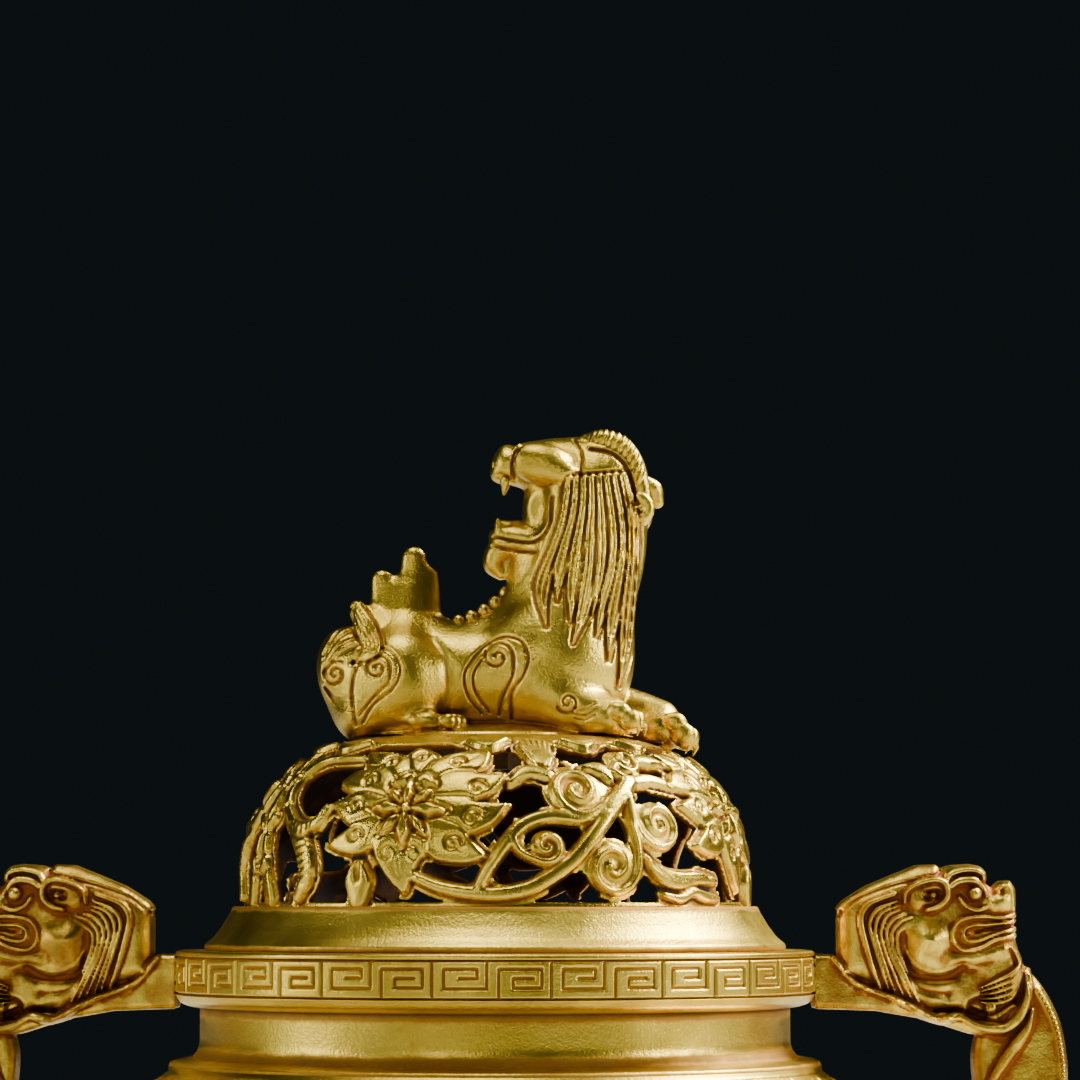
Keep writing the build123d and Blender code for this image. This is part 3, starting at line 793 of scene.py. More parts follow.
def draw_mane(sheet):
    """Locks side by side from the brow down the neck, each combed into strands and ending in a point."""
    front, back = through(MANE_FRONT), through(MANE_BACK)
    t = np.linspace(0, 1, len(front))
    spread = np.hypot(*(back - front).T) / MANE_LOCKS
    for lock in range(MANE_LOCKS):
        share = (lock + 0.5) / MANE_LOCKS
        line = front * (1 - share) + back * share
        line[:, 0] += 0.9 * t * np.sin(2 * pi * (1.1 * t + 0.17 * lock))
        line = line[: len(line) - (lock * 5) % 7]
        run = np.linspace(0, 1, len(line))
        wide = 1.3 * spread[: len(line)] * np.clip((1.04 - run) / 0.3, 0.06, 1)
        sheet.plateau(line, wide, 0.45, trench=0.42)
        for shift in (-0.36, 0.36):
            sheet.engrave(band(line, wide, shift)[: int(0.9 * len(line))], 0.42, 0.42)


SPINE = ((-13.6, 18.9), (-11.0, 18.8), (-7.4, 19.0), (-3.4, 20.4), (-0.8, 22.0), (1.9, 24.4), (4.1, 27.1),
         (5.6, 30.2))
SCROLL_CUT = (0.5, 0.55)        # width and depth of a scroll's groove


def draw_flank(sheet):
    """The scroll on the lion's side."""
    sheet.engrave(through([(-2.4, 3.0), (-4.6, 5.8), (-5.2, 9.6), (-2.8, 13.4), (0.9, 15.9), (4.4, 15.2),
                           (5.7, 12.4), (4.8, 9.2), (2.8, 6.2), (2.8, 2.2)]), *SCROLL_CUT)
    sheet.engrave(through([(-1.0, 3.2), (-3.2, 6.2), (-3.7, 9.4), (-2.2, 12.2)]), *SCROLL_CUT)
    sheet.engrave(coil((0.3, 12.5), 2.9, 0, 1.5, tail=((0.6, 2.8), (1.3, 5.6), (3.0, 9.4))), *SCROLL_CUT)


def draw_haunch(sheet):
    """The haunch's front edge and scroll, the curl and strands of the tail, and a lock of hair over it."""
    sheet.engrave(through([(-10.8, 15.4), (-8.6, 12.6), (-8.0, 9.0), (-8.4, 5.4), (-9.4, 3.0)]), 2.0, 0.5)
    sheet.engrave(through([(-23.8, 1.0), (-24.6, 5.6), (-24.0, 10.2), (-21.4, 13.6), (-18.0, 13.6),
                           (-16.2, 10.6), (-17.2, 7.2), (-20.6, 4.6), (-22.6, 1.4)]), *SCROLL_CUT)
    curl = coil((-20.2, 10.6), 2.4, 10, 1.5, tail=((-23.2, 2.6), (-20.4, 6.0), (-18.2, 8.2)))
    sheet.engrave(curl, *SCROLL_CUT)
    sheet.engrave(coil((-27.6, 9.8), 2.4, 60, 1.6), *SCROLL_CUT)
    for lift in (0.0, 1.6, 3.2, 4.8):
        upper = [(-23.6, 19.6 - lift), (-26.8, 18.0 - lift), (-29.6, 13.2 - 0.6 * lift)]
        lower = [(-24.4, 3.2 + 0.5 * lift), (-27.4, 4.6 + 0.3 * lift), (-29.4, 7.6)]
        sheet.engrave(through(upper), 0.5, 0.4)
        sheet.engrave(through(lower), 0.5, 0.3)
    comb(sheet, ((-24.4, 21.6), (-22.6, 18.0), (-21.2, 14.0), (-24.4, 11.6)), (2.6, 3.6, 3.4, 0.4), 4)


def draw_forearm(sheet):
    """A curl on the elbow and three short cuts ahead of it."""
    sheet.engrave(coil((12.4, 4.6), 2.0, 200, 1.4), *SCROLL_CUT)
    for lift in (0.0, 0.9, 1.8):
        sheet.engrave(through([(13.4, 2.0 + lift), (15.4, 1.6 + lift), (17.2, 2.6 + lift)]), 0.4, 0.35)


FACE_CUTS = (                   # (line, groove width, groove depth), from the muzzle back and down
    (((3.4, 42.6), (2.9, 45.6), (3.6, 48.6), (5.2, 50.2)), 0.6, 0.8),
    (((13.4, 50.8), (14.9, 47.6), (14.6, 43.4)), 0.4, 0.4),
    (((16.4, 48.8), (20.2, 47.9), (22.6, 45.4), (23.9, 41.4), (24.0, 38.0)), 0.7, 0.8),
    (((-0.8, 44.0), (1.0, 44.8), (2.6, 43.6)), 0.4, 0.5),
    (((-1.0, 34.0), (3.0, 33.0), (7.0, 32.8), (9.4, 35.6), (9.7, 40.2)), 0.5, 0.6),
    (((-0.6, 32.2), (3.0, 31.4), (7.0, 30.8)), 0.45, 0.5),
)


def draw_lion_relief(sheet):
    """Everything cut into or laid on the lion's sides."""
    for draw in (draw_mane, draw_flank, draw_haunch, draw_forearm):
        draw(sheet)
    for line, width, depth in FACE_CUTS:
        sheet.engrave(through(line), width, depth)


def paw(clay, centre, pitch, size):
    """A broad paw with four knuckled toes and claws. pitch tips it down, in degrees."""
    x, y, z = centre
    c, s = cos(radians(pitch)), sin(radians(pitch))
    heel = [size * r for r in (3.8, 3.9, 2.9)]
    clay.blob((x - 1.2 * size, y, z + 0.2), heel, tilt=-pitch, blend=1.4)
    for k in range(4):
        across = (-3.3 + 2.2 * k) * size
        reach = size - 0.3 * abs(across) / 3.3

        def at(ahead, up):
            ahead, up = ahead * reach, up * size
            return (x + ahead * c + up * s, y + across, z + up * c - ahead * s)

        clay.blob(at(1.0, 1.3), [size * r for r in (1.75, 1.15, 1.45)], tilt=-pitch, blend=0.35)
        clay.blob(at(3.5, 0.1), [size * r for r in (1.6, 1.2, 1.75)], tilt=-pitch - 25, blend=0.3)
        clay.limb([at(4.6, 0.2), at(5.3, -0.5), at(5.4, -1.7)], [0.6, 0.5, 0.2], blend=0.15, smooth=False)


def press_trunk(clay):
    """Belly, rump, chest, shoulders, ridge of the back, neck, mane and skull, then the haunches."""
    clay.limb([(-20, 0, 9.2), (-10, 0, 9.6), (0, 0, 9.5), (9, 0, 10.5)], [8.8, 9.2, 9.4, 10.4], flat=1.12)
    clay.blob((-20, 0, 9.5), (7.5, 9.5, 8.4), blend=3)
    clay.blob((14.5, 0, 11), (8.2, 10.0, 11.5), blend=3)
    clay.blob((8.6, 5.6, 11.6), (8.6, 6.0, 9.6), tilt=55, blend=4.5, both=True)
    clay.limb([(-14, 0, 14.0), (-7, 0, 14.5), (-2, 0, 16.5), (2, 0, 19.6), (5.4, 0, 24.0), (8, 0, 29.6)],
              [2.9, 2.9, 3.0, 3.1, 3.2, 3.4], blend=3.5)
    clay.limb([(12.5, 0, 14), (14.2, 0, 24), (16.7, 0, 31), (17.8, 0, 38)], [10.6, 10.2, 9.2, 8.6], blend=5)
    clay.blob((17.6, 0, 42.4), (8.4, 8.2, 8.4), blend=4)
    clay.blob((15.8, 6.0, 31), (6.8, 3.6, 12.5), tilt=12, blend=4, both=True)
    clay.blob((12.8, 4.6, 40.4), (4.0, 3.8, 5.0), blend=2, both=True)
    # haunches, with the toes of the hind feet showing at their fronts
    clay.blob((-15.6, 5.8, 8.4), (7.6, 6.8, 8.8), tilt=8, blend=1.6, both=True)
    clay.blob((-11.4, 10.0, 1.6), (4.0, 3.0, 1.9), blend=1.2, both=True)
    for k in range(3):
        clay.blob((-8.0 + 0.9 * k, 12.4 - 1.9 * k, 1.5), (1.4, 0.95, 1.3), blend=0.4, both=True)


def press_head(clay):
    """A blunt nose, drooping brows, and an open mouth with a solid throat, a tongue, teeth and a beard."""
    clay.limb([(19, 0, 44.4), (12, 0, 46.4), (7, 0, 46.6)], [6.6, 4.9, 4.0], blend=2, flat=1.15)
    clay.limb([(9, 0, 46.2), (5.2, 0, 46.4), (2.7, 0, 46.2)], [4.2, 3.9, 3.0], blend=1.2, flat=1.3)
    clay.blob((1.6, 0, 46.7), (2.3, 3.5, 3.5), tilt=-12, blend=0.6)
    clay.blob((0.6, 0, 45.4), (1.6, 2.9, 1.9), tilt=-20, blend=0.3)
    clay.blob((4.8, 3.0, 49.2), (1.7, 1.4, 1.0), tilt=10, blend=0.4, both=True)
    clay.blob((8.2, 5.9, 46.1), (5.9, 3.4, 3.7), tilt=-12, blend=0.2, both=True)
    clay.limb([(9.0, 6.4, 45.8), (12.4, 7.6, 44.0), (14.6, 8.0, 42.2)], [3.0, 2.1, 0.6], blend=0.4, both=True)
    clay.limb([(13, 0, 31.4), (6.5, 0, 32.9), (1.3, 0, 34.0)], [4.4, 3.3, 2.5], blend=1.5, flat=1.6)
    clay.limb([(9.5, 0, 30), (6.6, 0, 28.6), (5.2, 0, 26)], [4.4, 3.8, 2.6], blend=2)
    clay.blob((9.6, 0, 38.6), (5.0, 5.4, 7.6), blend=1.2)
    clay.scoop((0.0, 0, 38.9), (4.4, 14, 3.7), blend=0.6)
    clay.scoop((6.4, 8.0, 38.4), (3.0, 4.2, 4.4), tilt=-6, blend=0.8, both=True)
    clay.limb([(3.4, 0, 35.6), (0.6, 0, 36.1)], [1.4, 0.9], blend=0.6, flat=1.5, smooth=False)
    clay.limb([(1.6, 2.8, 43.4), (1.4, 2.9, 41.9)], [0.9, 0.35], blend=0.3, both=True, smooth=False)
    clay.limb([(0.6, 2.8, 35.2), (0.4, 2.8, 36.7)], [0.9, 0.35], blend=0.3, both=True, smooth=False)
    clay.scoop((-0.8, 1.3, 46.4), (0.9, 0.6, 0.6), blend=0.3, both=True)
    clay.limb([(1.4, 0, 32.4), (-0.2, 0, 30.8), (-0.5, 0, 29.0), (0.8, 0, 27.4)], [2.4, 1.9, 1.6, 0.9],
              blend=0.8, flat=1.6)
    clay.blob((2.8, 0, 29.4), (3.0, 1.3, 2.6), blend=0.8)


def press_horns(clay):
    """Ridged rolls on the crown, the near one ending in a curl and the far one in a tip, and the ears."""
    near = through([(15.8, -2.4, 50.4), (18.6, -3.8, 50.6), (21.8, -4.6, 49.4), (24.0, -4.8, 46.6),
                    (25.3, -5.0, 42.6), (25.7, -5.6, 38.8), (24.9, -6.8, 36.4), (23.2, -7.4, 36.6),
                    (23.0, -7.4, 38.4)])
    far = near[:26] * (1, -1, 1)
    clay.limb(near, [1.4, 1.7, 1.7, 1.6, 1.4, 1.3, 1.1, 1.0, 0.8], blend=0.5, smooth=False)
    clay.limb(far, [1.4, 1.7, 1.7, 1.6, 1.5], blend=0.5, smooth=False)
    clay.limb([(25.6, 5.4, 44.4), (27.6, 6.2, 43.0), (28.3, 6.4, 40.8)], [1.2, 1.6, 1.2], blend=0.4)
    clay.blob((24.6, 6.0, 37.8), (2.7, 2.2, 2.7), blend=0.5, both=True)
    ear = [(x, 8.1, z) for x, z in coil((24.6, 37.9), 2.3, 100, -1.15)]
    clay.limb(ear, [1.1, 1.0, 0.6], blend=0.2, both=True, smooth=False)
    for point in near[2:23:2]:
        for side in (1, -1):
            clay.blob(point * (1, side, 1), (2.0, 2.2, 0.55), tilt=70, blend=0.15)


def press_tail(clay):
    """A round tuft with locks over it, and a flame of rounded tips."""
    clay.blob((-25.0, 0, 10.0), (5.9, 7.6, 8.4), tilt=12, blend=1.0)
    for k, lean in enumerate((0.0, 1.3, 2.6)):
        clay.limb([(-23.8 + lean, 2.2, 21.8 - 0.7 * lean), (-22.6 + lean, 5.4 - 0.5 * k, 17.6 - 0.3 * lean),
                   (-22.4 + lean, 7.4 - 0.5 * k, 13.2)], [1.0, 1.25, 0.9], blend=0.35, both=True)
    clay.blob((-22.4, 0, 3.4), (5.6, 9.6, 5.4), blend=2.5)
    clay.limb([(-15.8, 0, 13.0), (-15.6, 0, 18.6), (-15.3, 0, 23.0)], [8.4, 5.6, 4.0], blend=3.0, flat=0.7)
    clay.limb([(-16.2, 6.0, 11.6), (-16.0, 3.8, 14.8), (-15.8, 1.6, 17.6)], [4.4, 3.2, 2.4],
              blend=2.5, both=True)
    flames = ((-14.2, 30.2, (3.6, 3.0, 2.1)), (-19.8, 26.4, (3.4, 2.6, 1.8)), (-11.4, 27.0, (2.6, 2.0, 1.4)))
    for tip, top, radii in flames:
        root, bend = (0.6 * tip - 6.4, 0, 18), (0.85 * tip - 2.2, 0, 22.8)
        clay.limb([root, bend, (tip, 0, top)], radii, blend=1.4, flat=0.65)
    clay.limb([(-19.5, 0, 15), (-22.4, 0, 18.6), (-24.0, 0, 20.8)], [3.4, 2.0, 1.4], blend=0.6)


def press_forelegs(clay):
    """The near foreleg lies on the dome, and the longer far one droops over its edge."""
    clay.limb([(7, -7.4, 8.2), (12, -9.2, 4.8), (17, -9.8, 3.0), (19.6, -9.8, 2.4)], [5.6, 4.3, 3.7, 3.4],
              blend=1.6)
    paw(clay, (20.2, -9.8, 1.6), 5, 1.15)
    clay.limb([(10, 7.4, 8.2), (17, 7.8, 5.6), (24, 7.4, 3.8), (28.4, 7.0, 2.4)], [5.4, 4.5, 4.0, 3.7],
              blend=1.4)
    paw(clay, (29.8, 6.6, 0.7), 24, 1.25)


def press_plinth(clay):
    """The low mound that the lion lies on."""
    clay.blob((0.8, 0, -3.0), (26.4, 15.6, 4.7), blend=0.8)


def lion_clay(step):
    """The lion, with its height measured from the top of the dome."""
    clay = Clay((-33.0, -17.0, -8.0), (38.6, 17.0, 54.4), step)
    for press in (press_trunk, press_head, press_horns, press_tail, press_forelegs, press_plinth):
        press(clay)
    return clay


def cut_to_dome(clay, sunk=0.6):
    """Takes away what lies more than sunk under the dome's surface."""
    x, y, z = clay.everywhere()
    out = np.hypot(x, y)
    above = np.where(out < DOME_FLAT_R, z, np.hypot(out - DOME_FLAT_R, z + DOME_BEND) - DOME_BEND)
    clay.field = np.maximum(clay.field, -(above + sunk)).astype(np.float32)


NECK_CUT, NECK_LEAN = 9.0, 0.35  # where the slanting cut between body and head meets the dome, and its lean


class CENSER_OT_lion(bpy.types.Operator):
    """Sculpts the lion knob and the row of beads along its spine"""
    bl_idname = "censer.lion"
    bl_label = "Lion knob"

    def execute(self, context):
        step = 0.25
        clay = lion_clay(step)
        relief = clay.side_sheet()
        draw_lion_relief(relief)
        clay.press_sides(relief, 2.0)
        cut_to_dome(clay)
        points, quads, stain_and_shade = skin(clay.field, step)
        points = points * step + clay.low + (0, 0, DOME.top)
        middle = points[quads].mean(axis=1)
        ahead = middle[:, 0] + NECK_LEAN * (middle[:, 2] - DOME.top)
        part_of = (ahead > NECK_CUT).astype(int)
        lion = add_parts(("lion_body", "lion_head"), points, quads, stain_and_shade, part_of)
        hand_over(lion[0], "lid", "finial_gilt", finish("gilt_lion"), "finial_lion")
        hand_over(lion[1], "lid", "finial_gilt", finish("gilt_lion"))
        beads = line_object("lion_spine_beads", [(x, 0, DOME.top + z) for x, z in through(SPINE)])
        sizes = context.scene.censer_sizes
        grown(beads, bead_tree(), Spacing=sizes.spine_bead_spacing, Radius=sizes.spine_bead_radius,
              Length=0.9, Finish=finish("gilt_lion"))
        hand_over(beads, "lid", "finial_gilt", finish("gilt_lion"))
        return {"FINISHED"}


# ---- the openwork dome ----
BAYS = 4                        # a flower every quarter turn, and a scroll or a pair of leaves between
DOME_GIRTH = 2 * pi * DOME.r
BAY = DOME_GIRTH / BAYS
FIRST_FLOWER = DOME.r * radians(-110)
FLOWER_V = 16.5                 # height of a flower's middle, measured up the dome's side
DOME_SIDE = DOME_BEND_Z - DOME.base
GROUND = 1.1                    # how far the relief stands above its ground
CROWN_R = 12.0
SCREW_HOLE_R = 2.6
MARGIN = 0.8                    # ground left standing round the relief where the wall is opened
OPEN_TO = 33.0                  # how far up the side the openings reach
FOOT_BAND, CROWN_BAND = 0.7, 6.0    # heights of the solid bands at the dome's foot and round its crown

PETALS = (                      # (middle line, widths along it, place of its curl, way the curl turns)
    (((0.0, 20.0), (-0.4, 26.0), (-1.6, 31.0)), (6.0, 7.6, 0.6), (0.4, 27.6), 1),
    (((-2.5, 19.5), (-6.5, 25.0), (-10.0, 27.6), (-14.8, 29.6)), (5.0, 7.4, 4.8, 0.5), (-6.0, 26.4), 1),
    (((2.0, 19.0), (6.5, 24.6), (11.0, 27.0), (14.8, 29.6)), (5.0, 7.8, 6.2, 0.5), (8.2, 26.2), -1),
    (((-3.0, 18.0), (-8.5, 21.4), (-12.0, 22.4), (-16.0, 21.8)), (5.0, 7.2, 5.4, 0.8), (-9.0, 22.0), -1),
    (((3.0, 18.4), (9.0, 20.6), (14.0, 21.6), (18.6, 23.6)), (5.0, 7.6, 4.8, 0.5), (12.6, 20.4), -1),
    (((-4.0, 16.0), (-9.5, 16.6), (-13.0, 17.2), (-16.4, 17.6)), (5.0, 6.6, 3.6, 0.5), (-10.2, 17.0), -1),
    (((4.0, 16.0), (9.6, 15.0), (14.0, 15.6), (18.4, 17.6)), (5.0, 7.4, 5.0, 0.5), (11.8, 14.8), -1),
    (((-3.0, 13.6), (-8.4, 11.4), (-11.6, 10.6), (-15.0, 10.2)), (5.0, 6.2, 4.0, 0.5), (-9.0, 11.8), -1),
    (((3.0, 13.2), (7.4, 10.6), (11.0, 9.0), (14.6, 8.2)), (5.0, 7.2, 4.6, 0.5), (8.8, 10.4), -1),
    (((-0.4, 14.0), (-0.8, 10.0), (-0.4, 6.0), (0.4, 2.6)), (6.0, 9.4, 5.4, 1.6), (2.0, 8.8), 1),
)
STAR = (                        # (tip, greatest width, height), from the lower leaves to the upper ones
    ((-3.6, 12.6), 1.9, 1.5), ((3.6, 12.2), 1.9, 1.5), ((-3.4, 20.2), 1.6, 1.5), ((3.8, 20.0), 1.6, 1.5),
    ((-6.0, 16.7), 2.2, 1.75), ((6.6, 16.1), 2.3, 1.75), ((-0.2, 21.4), 1.8, 1.8), ((0.1, 10.4), 2.3, 1.8),
)


def draw_flower(sheet, u):
    """An open flower: ten curled petals, a star of leaves over them and a button in the middle."""
    sheet.plateau([(u, FLOWER_V - 1), (u, FLOWER_V + 1)], 17.0, 0.8, trench=0.2)
    for line, widths, curl, spin in PETALS:
        sheet.plateau(through(moved(line, u)), widths, 1.0, trench=0.4)
    for line, widths, curl, spin in PETALS:
        ring = coil((curl[0] + u, curl[1]), 1.6, 90 + 90 * spin, -1.25 * spin)
        sheet.swell(spot(curl[0] + u, curl[1]), 1.2, 0.35, softness=0.8)
        sheet.engrave(ring, 0.5, 0.7)
        sheet.engrave(through(moved(line, u))[8:-4], 0.4, 0.18)
    sheet.engrave(coil((u - 2.4, 8.8), 1.6, 0, 1.25), 0.5, 0.7)
    sheet.plateau(through(moved(((-3.4, 21.4), (-1.2, 22.6), (0.6, 21.4), (2.4, 22.4), (4.6, 21.0)), u)),
                  (1.2, 2.4, 2.6, 2.4, 1.0), 1.35, trench=0.4)
    for tip, width, height in STAR:
        across, up = 1.15 * tip[0], 1.15 * (tip[1] - FLOWER_V)
        heart, middle = (u, FLOWER_V), (u + 0.55 * across, FLOWER_V + 0.55 * up)
        leaf = [heart, middle, (u + across, FLOWER_V + up)]
        sheet.plateau(leaf, (0.8, 1.2 * width, 0.3), height + 0.3, trench=0.7)
        sheet.engrave([heart, middle], 0.4, 0.35)
    sheet.emboss(spot(u, FLOWER_V), 1.5, 2.4, edge=0.7)


def draw_scroll(sheet, u):
    """The stem that leaves a flower on its right and breaks into curls."""
    stem = through(moved([(1.5, 5.2), (7, 3.0), (14, 2.0), (19, 2.3), (23, 3.6), (28.5, 7.2), (33, 12),
                          (37.4, 17), (42.6, 22)], u))
    branch = through(moved([(12.8, 2.6), (15, 6.5), (18, 11), (21, 13.9), (25.5, 15.3), (31, 15), (36, 17.2),
                            (41, 20.6)], u))
    fan = [(u + 25.4, 23.2), (u + 25.4, 28.0), (u + 25.0, 32.0)]
    sheet.plateau(fan, (1.6, 5.0, 6.4), 0.9)
    for k in range(7):
        sheet.engrave([(u + 25.4, 24.0), (u + 20.9 + 1.5 * k, 33.4)], 0.4, 0.4)
    for line, widths in (
        (((26.6, 23.4), (22.4, 24.6), (18.6, 22.0)), (2.6, 3.0, 1.6)),
        (((33.6, 25.6), (37.4, 25.2), (39.0, 22.6)), (1.6, 3.4, 1.8)),
        (((42.6, 22), (48, 22.8), (53, 21.6), (59, 19.6)), (2.4, 3.0, 2.4, 0.5)),
        (((46, 27.2), (52, 28.0), (58, 26.2)), (1.2, 3.6, 0.6)),
        (((42.4, 8.6), (45.6, 5.4), (50, 4.2), (55, 4.6), (60.6, 4.2)), (1.2, 3.2, 3.6, 2.8, 1.6)),
        (((46.6, 2.0), (50.6, 1.4), (54, 2.4), (57.5, 1.6), (61.5, 1.2)), (1.4, 2.2, 2.0, 2.2, 1.4)),
        (((9.0, 34.4), (14.0, 32.6), (19.0, 35.0)), (1.4, 3.4, 1.2)),
        (((33.0, 34.6), (38.0, 32.8), (43.0, 34.8)), (1.4, 3.4, 1.2)),
        (((50.0, 34.6), (55.0, 32.8), (60.0, 34.8)), (1.4, 3.4, 1.2)),
    ):
        sheet.plateau(through(moved(line, u)), widths, 0.95)
    for line in (((44, 7.0), (50, 4.6), (58, 4.8)), ((48, 21.6), (54, 20.6), (58, 19.8))):
        sheet.engrave(through(moved(line, u)), 0.45, 0.4)
    sheet.emboss(stem, (2.0, 2.6, 2.8, 2.8, 2.8, 3.2), 1.35, edge=0.9)
    sheet.emboss(branch, (2.0, 2.4, 2.4, 2.6, 2.6), 1.25, edge=0.8)
    for centre, radius, start, turns, tail, width in (
        ((31.2, 20.3), 5.4, -40, -1.65, ((43, 22), (39.6, 18.6), (37.0, 16.8)), 2.0),
        ((24.6, 10.0), 2.9, -110, 1.35, ((18.6, 12.2), (20.0, 9.0)), 1.5),
        ((36.2, 6.6), 5.0, 0, -1.5, ((41.4, 19), (40.6, 14.6), (41.2, 10.4)), 1.7),
        ((46.4, 14.0), 4.4, -120, 1.5, ((41.2, 18), (41.4, 13.6), (42.4, 11.6)), 1.7),
        ((45.0, 27.2), 3.2, 200, 1.5, ((42.6, 22.4), (40.4, 24.4)), 1.5),
    ):
        curl = moved(coil(centre, radius, start, turns, tail), u)
        sheet.plateau(spot(u + centre[0], centre[1]), 2 * radius - 0.6, 0.35, trench=0.0)
        sheet.emboss(curl, (width, width, 0.8 * width, 0.6 * width), 1.3, edge=0.6)
        sheet.engrave(band(curl, (width, 0.6 * width), 0.45 if turns < 0 else -0.45)[6:-6], 0.34, 0.35)
    for place, half_u, half_v in (
        ((20.4, 18.8), 3.6, 3.8), ((26.0, 12.0), 5.0, 3.4), ((20.4, 6.2), 5.6, 3.4), ((29.5, 2.6), 4.6, 2.8),
        ((36.6, 12.0), 3.0, 4.6), ((45.8, 19.4), 2.6, 2.0), ((52.0, 13.0), 2.2, 3.2), ((51.0, 8.0), 4.6, 2.6),
        ((43.6, 2.6), 2.6, 2.4), ((34.6, 29.4), 4.0, 2.4), ((50.6, 25.2), 3.6, 1.6), ((8.6, 5.6), 5.0, 2.2),
        ((17.6, 29.0), 3.2, 2.6), ((30.4, 1.4), 3.0, 1.0), ((60.5, 8.4), 2.0, 2.2), ((17.4, 12.6), 1.8, 3.4),
        ((58.8, 30.8), 3.0, 1.8),
    ):
        sheet.pierce((u + place[0], place[1]), half_u, half_v)


def draw_leaves(sheet, u, side):
    """The long ribbed leaf, wavy branch and bud on one side of a flower."""
    def at(*points):
        return moved(points, u, flip=side)

    leaf = through(at((-15, 28.6), (-25.5, 28.4), (-30.2, 24.8), (-30.6, 20.6), (-28.6, 17.4), (-25, 14),
                      (-21.6, 10.8), (-20.0, 8), (-19.6, 5), (-21.8, 1.6)))
    branch = at((-28, 17.0), (-23, 13.6), (-18.6, 14.2), (-16.6, 17.2), (-13.0, 17.2))
    sheet.plateau(through(at((-20, 34.6), (-26, 32.4), (-32, 34.6))), (1.4, 3.6, 1.2), 0.95)
    sheet.plateau(through(at((-33.6, 30), (-34.6, 20), (-33.0, 10), (-30.6, 1))), (2.0, 2.6, 2.4, 3.6), 0.9)
    sheet.plateau(leaf, (1.2, 1.9, 2.1, 2.1, 2.3, 3.0, 4.0, 4.2, 3.4, 2.6), 1.15)
    sheet.plateau(through(branch), (1.6, 2.9, 2.7, 1.8, 0.6), 1.2)
    sheet.plateau(through(at((-8, 0.6), (-8, 4.0), (-8, 6.4))), (3.6, 5.6, 3.4), 1.3)
    sheet.engrave(at((-8, 7.4), (-8, 4.6)), 0.9, 0.8)
    sheet.engrave(band(leaf, (1.6, 3.0), 0.0)[:34], 0.4, 0.4)
    for k in range(9):
        across, up = -22.6 + 0.35 * k, 12.4 - 1.25 * k
        sheet.engrave(at((across, up), (across + 2.6, up + 0.9)), 0.35, 0.4)
    for k in range(7):
        across, up = -25.0 + 1.1 * k, 14.6 - 0.1 * k
        sheet.engrave(at((across, up), (across - 0.2, up - 1.6)), 0.35, 0.4)
    for k in range(3):
        sheet.plateau(at((-33.4, 6.0 + 8 * k), (-32.2, 7.5 + 8 * k)), (2.0, 2.6), 1.2)
    for place, half_u, half_v in (
        ((-20.6, 22.6), 7.6, 4.6), ((-13.8, 13.0), 4.4, 2.2), ((-13.2, 4.6), 3.4, 3.8),
        ((-3.4, 3.6), 3.2, 3.6), ((-25.0, 8.6), 2.6, 4.6), ((-27.4, 3.0), 2.4, 2.6),
        ((-12.0, 32.0), 2.4, 1.4),
    ):
        sheet.pierce((u + side * place[0], place[1]), half_u, half_v)


def dome_point(u, v, h):
    """Place on the dome for girth u, height up the side v and height above the surface h."""
    turn = np.clip(v - DOME_SIDE, 0, DOME_BEND * pi / 2) / DOME_BEND
    flat = np.clip(v - DOME_SIDE - DOME_BEND * pi / 2, 0, None)
    side = np.minimum(v, DOME_SIDE)
    r = DOME_FLAT_R + (DOME_BEND + h) * np.cos(turn) - flat
    z = DOME.base + side + (DOME_BEND + h) * np.sin(turn)
    angle = u / DOME.r
    return np.stack([r * np.cos(angle), r * np.sin(angle), z], axis=-1)


def dome_squeeze(v):
    """How much shorter the girth is at height v than at the foot."""
    return np.clip(np.hypot(*dome_point(np.zeros_like(v), v, 0.0)[..., :2].T) / DOME.r, 0.2, 1)


def dome_sheet(step, top):
    """The whole design of the dome, drawn bay by bay, and the openings left between its lines."""
    sheet = Sheet((-DOME_GIRTH / 2, 0.0), (DOME_GIRTH / 2, top), step, around=True, squeeze=dome_squeeze)
    flowers = [FIRST_FLOWER + bay * BAY for bay in range(BAYS)]
    for bay, u in enumerate(flowers):
        if bay % 2 == 0:
            draw_scroll(sheet, u)
            draw_leaves(sheet, u, 1)
        else:
            draw_leaves(sheet, u, -1)
    for u in flowers:
        draw_flower(sheet, u)
    closing = np.clip(sheet.v - OPEN_TO, 0, FAR)[None, :]
    wide_ground = MARGIN - np.minimum(sheet.ink, 2.0) + closing
    sheet.holes = np.maximum(np.minimum(sheet.holes, wide_ground), 0.25 - sheet.ink)
    foot, head = sheet.v < FOOT_BAND, sheet.v > top - CROWN_BAND
    sheet.holes[:, foot] = np.maximum(sheet.holes[:, foot], 0.3)
    sheet.height[:, head] = np.maximum(sheet.height[:, head], 0.7)
    sheet.soften()
    return sheet


